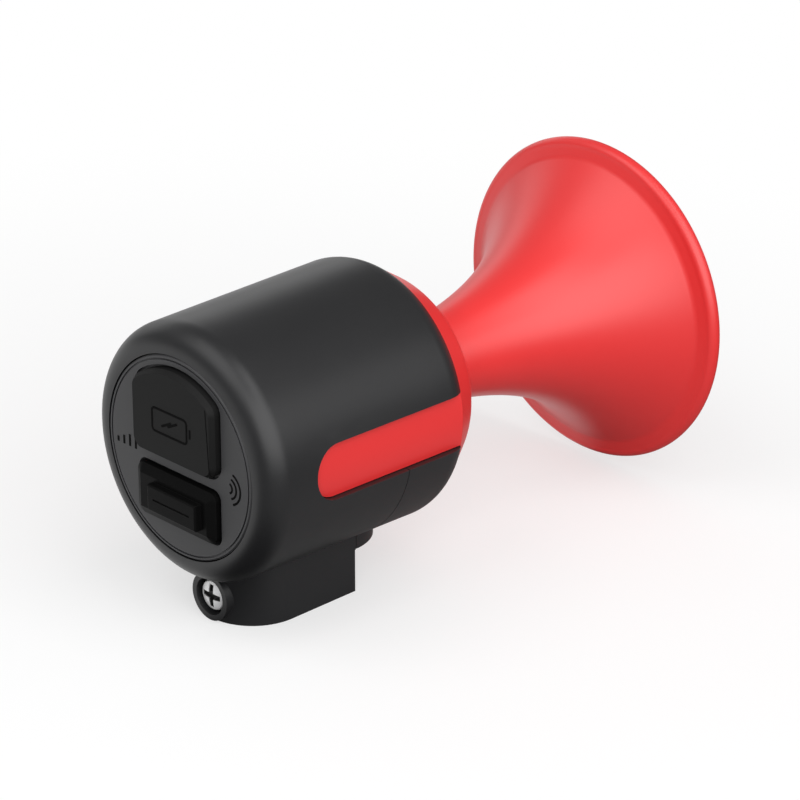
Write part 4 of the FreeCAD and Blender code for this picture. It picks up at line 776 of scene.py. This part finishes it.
# %% Floor
FLOOR_SIZE = 3.0
floor_line = np.linspace(-FLOOR_SIZE, FLOOR_SIZE, 3)
floor_grid = np.stack(np.meshgrid(floor_line, floor_line, indexing="ij"), axis=-1)
floor_points = np.concatenate([floor_grid, np.zeros((3, 3, 1))], axis=-1).reshape(-1, 3)
floor = mesh_piece("floor", floor_points, grid_faces(3, 3, False, False)[:, ::-1])
floor_material = bpy.data.materials.new("floor")
floor_material.use_nodes = True
floor_nodes = floor_material.node_tree.nodes
floor_links = floor_material.node_tree.links
floor_shader = floor_nodes["Principled BSDF"]
floor_shader.inputs["Roughness"].default_value = 0.9
floor_shader.inputs["Specular IOR Level"].default_value = 0.0

# %% [markdown]
# The floor's tone depends on the place, and on who looks. Such a chain of nodes is easier to read as a
# few sums, so three helpers make one node each: a smooth ramp between two values, the product or the
# larger of two, and the distance from a point.

# %% Helpers for the floor
floor_place = floor_nodes.new("ShaderNodeTexCoord")
ray = floor_nodes.new("ShaderNodeLightPath")


def floor_ramp(value, low, high, start, finish_value):
    """start + (finish - start) * smooth step of (value - low) / (high - low)."""
    ramp = floor_nodes.new("ShaderNodeMapRange")
    ramp.interpolation_type = "SMOOTHSTEP"
    for label, number in (("From Min", low), ("From Max", high), ("To Min", start), ("To Max", finish_value)):
        ramp.inputs[label].default_value = number
    floor_links.new(value, ramp.inputs["Value"])
    return ramp.outputs["Result"]


def floor_math(operation, first, second):
    """operation(first, second), such as their product or the larger of the two."""
    step = floor_nodes.new("ShaderNodeMath")
    step.operation = operation
    floor_links.new(first, step.inputs[0])
    floor_links.new(second, step.inputs[1])
    return step.outputs["Value"]


def floor_distance(point):
    """The distance of a place on the floor from a point."""
    reach = floor_nodes.new("ShaderNodeVectorMath")
    reach.operation = "DISTANCE"
    reach.inputs[1].default_value = point
    floor_links.new(floor_place.outputs["Object"], reach.inputs[0])
    return reach.outputs["Value"]


print("helpers for:", floor_material.name)

# %% [markdown]
# What the horn itself sees of the floor is a card, as under a product in a studio. It is pale on the
# far side, where it draws the bright edge along the top of the barrel. It is dark on the near side, so
# that the flanks keep their depth, and nearly black behind the cap, where the round rear edge shows a
# dark band. Real cards laid on the floor would do the same, but then the camera would see them too.

# %% What the horn sees of the floor
FAR_EDGE = (-0.003, 0.007)
CARD_NEAR, CARD_FAR = 0.32, 0.90
CARD_FADE, CARD_OUTSIDE = (0.06, 0.14), 0.45
PATCH_PLACE = (-0.030, -0.016, 0.0)
PATCH_EDGE, PATCH_TONE = (0.014, 0.034), 0.04
sides = floor_nodes.new("ShaderNodeSeparateXYZ")
floor_links.new(floor_place.outputs["Object"], sides.inputs["Vector"])
far_side = floor_ramp(sides.outputs["Y"], *FAR_EDGE, 0.0, 1.0)
from_middle = floor_distance((0.0, 0.0, 0.0))
card_side = floor_nodes.new("ShaderNodeMapRange")
card_side.inputs["To Min"].default_value = CARD_NEAR
card_side.inputs["To Max"].default_value = CARD_FAR
floor_links.new(far_side, card_side.inputs["Value"])
fading = floor_ramp(from_middle, *CARD_FADE, 1.0, CARD_OUTSIDE)
patch = floor_ramp(floor_distance(PATCH_PLACE), *PATCH_EDGE, PATCH_TONE, 1.0)
card = floor_math("MULTIPLY", floor_math("MULTIPLY", card_side.outputs["Result"], fading), patch)
print("card tones, near and far:", CARD_NEAR, CARD_FAR)

# %% [markdown]
# The camera sees a pale floor that fades to plain white further out, so that the picture has no
# horizon. Lighting it to white would take strong lamps, which would flood the horn, so here the floor
# glows by itself. The horn's glossy surfaces see that glow on the far side only.

# %% What the camera sees of the floor
FLOOR_TONE = 0.93
WHITE_FADE, WHITE_NEAR = (0.06, 0.24), 0.55
tone = floor_nodes.new("ShaderNodeMix")
tone.data_type = "RGBA"
tone.inputs["B"].default_value = (FLOOR_TONE, FLOOR_TONE, FLOOR_TONE, 1)
floor_links.new(ray.outputs["Is Camera Ray"], tone.inputs["Factor"])
floor_links.new(card, tone.inputs["A"])
floor_links.new(tone.outputs["Result"], floor_shader.inputs["Base Color"])
whiteness = floor_ramp(from_middle, *WHITE_FADE, WHITE_NEAR, 1.0)
white = floor_nodes.new("ShaderNodeEmission")
white.inputs["Strength"].default_value = 1.0
mirrored = floor_math("MAXIMUM", ray.outputs["Is Glossy Ray"], ray.outputs["Is Transmission Ray"])
shown = floor_math("MAXIMUM", ray.outputs["Is Camera Ray"], floor_math("MULTIPLY", mirrored, far_side))
mix = floor_nodes.new("ShaderNodeMixShader")
floor_links.new(floor_math("MULTIPLY", whiteness, shown), mix.inputs["Fac"])
floor_links.new(floor_shader.outputs["BSDF"], mix.inputs[1])
floor_links.new(white.outputs["Emission"], mix.inputs[2])
floor_links.new(mix.outputs["Shader"], floor_nodes["Material Output"].inputs["Surface"])
floor.data.materials.append(floor_material)
print("floor tone:", FLOOR_TONE)

# %% [markdown]
# The world fills the shadows with a little even light. A picture of a real room would bring colours of
# its own, and a plain grey doesn't. The camera sees it as white.

# %% World
WORLD_STRENGTH = 0.24
world = bpy.data.worlds.new("studio")
bpy.context.scene.world = world
world.use_nodes = True
sky_nodes = world.node_tree.nodes
sky_links = world.node_tree.links
sky = sky_nodes["Background"]
sky.inputs["Color"].default_value = (1, 1, 1, 1)
sky.inputs["Strength"].default_value = WORLD_STRENGTH
backdrop = sky_nodes.new("ShaderNodeBackground")
backdrop.inputs["Strength"].default_value = 1.0
sky_ray = sky_nodes.new("ShaderNodeLightPath")
choice = sky_nodes.new("ShaderNodeMixShader")
sky_links.new(sky_ray.outputs["Is Camera Ray"], choice.inputs["Fac"])
sky_links.new(sky.outputs["Background"], choice.inputs[1])
sky_links.new(backdrop.outputs["Background"], choice.inputs[2])
sky_links.new(choice.outputs["Shader"], sky_nodes["World Output"].inputs["Surface"])
print("world strength:", WORLD_STRENGTH)

# %% [markdown]
# Five soft lamps light the horn. The largest stands behind the camera's shoulder and gives the red
# flare its broad glow, and a small one beside it lights the flank. One hangs overhead and one high
# behind the cap. A low one on the far side draws the rim of light along the top. Each could be moved
# and turned by hand. Giving its direction round the horn, its height above the floor as an angle and
# its distance keeps it turned to the horn, whatever changes.

# %% Lamps
LAMP_TARGET = Vector((0.02, 0.0, axis_height))
# Each row: name, azimuth and elevation in degrees, distance, width and height in metres, power in watts.
LAMPS = [
    ("shoulder", -112, 26, 0.9, 1.35, 0.86, 8.6),
    ("flank", -54, 24, 0.9, 0.5, 0.5, 0.7),
    ("overhead", -85, 66, 0.8, 0.45, 0.45, 1.4),
    ("behind", 165, 52, 0.8, 0.7, 0.6, 2.4),
    ("far_edge", 72, 19, 0.8, 0.8, 0.3, 0.8),
]


def lamp(name, azimuth, elevation, away, width, height, power):
    """Place = target + away * (cos e cos a, cos e sin a, sin e), facing the target."""
    a, e = math.radians(azimuth), math.radians(elevation)
    facing = Vector((math.cos(e) * math.cos(a), math.cos(e) * math.sin(a), math.sin(e)))
    light = bpy.data.lights.new(name, "AREA")
    light.shape = "RECTANGLE"
    light.size = width
    light.size_y = height
    light.energy = power
    holder = bpy.data.objects.new(name, light)
    holder.location = LAMP_TARGET + away * facing
    holder.rotation_euler = facing.to_track_quat("Z", "Y").to_euler()
    holder.visible_camera = False
    bpy.context.scene.collection.objects.link(holder)


for setting in LAMPS:
    lamp(*setting)
print("lamps:", len(LAMPS))

# %% [markdown]
# The camera looks down on the horn from behind and from the side. Its place and direction were
# worked out from the ellipses that the round faces make in the picture, and its long lens keeps the
# bell and the barrel in their true proportion.

# %% Camera
LENS, SENSOR_WIDTH = 157.9, 36.0
VIEW_PLACE = (-0.3537, -0.4015, 0.2772)
VIEW_DIRECTION = Vector((0.6345, 0.6559, -0.4091))
camera = bpy.data.cameras.new("camera")
camera.lens = LENS
camera.sensor_width = SENSOR_WIDTH
viewer = bpy.data.objects.new("camera", camera)
viewer.location = VIEW_PLACE
viewer.rotation_euler = VIEW_DIRECTION.to_track_quat("-Z", "Y").to_euler()
bpy.context.scene.collection.objects.link(viewer)
bpy.context.scene.camera = viewer
bpy.context.scene.view_settings.view_transform = "Standard"
print("camera lens in mm:", LENS)
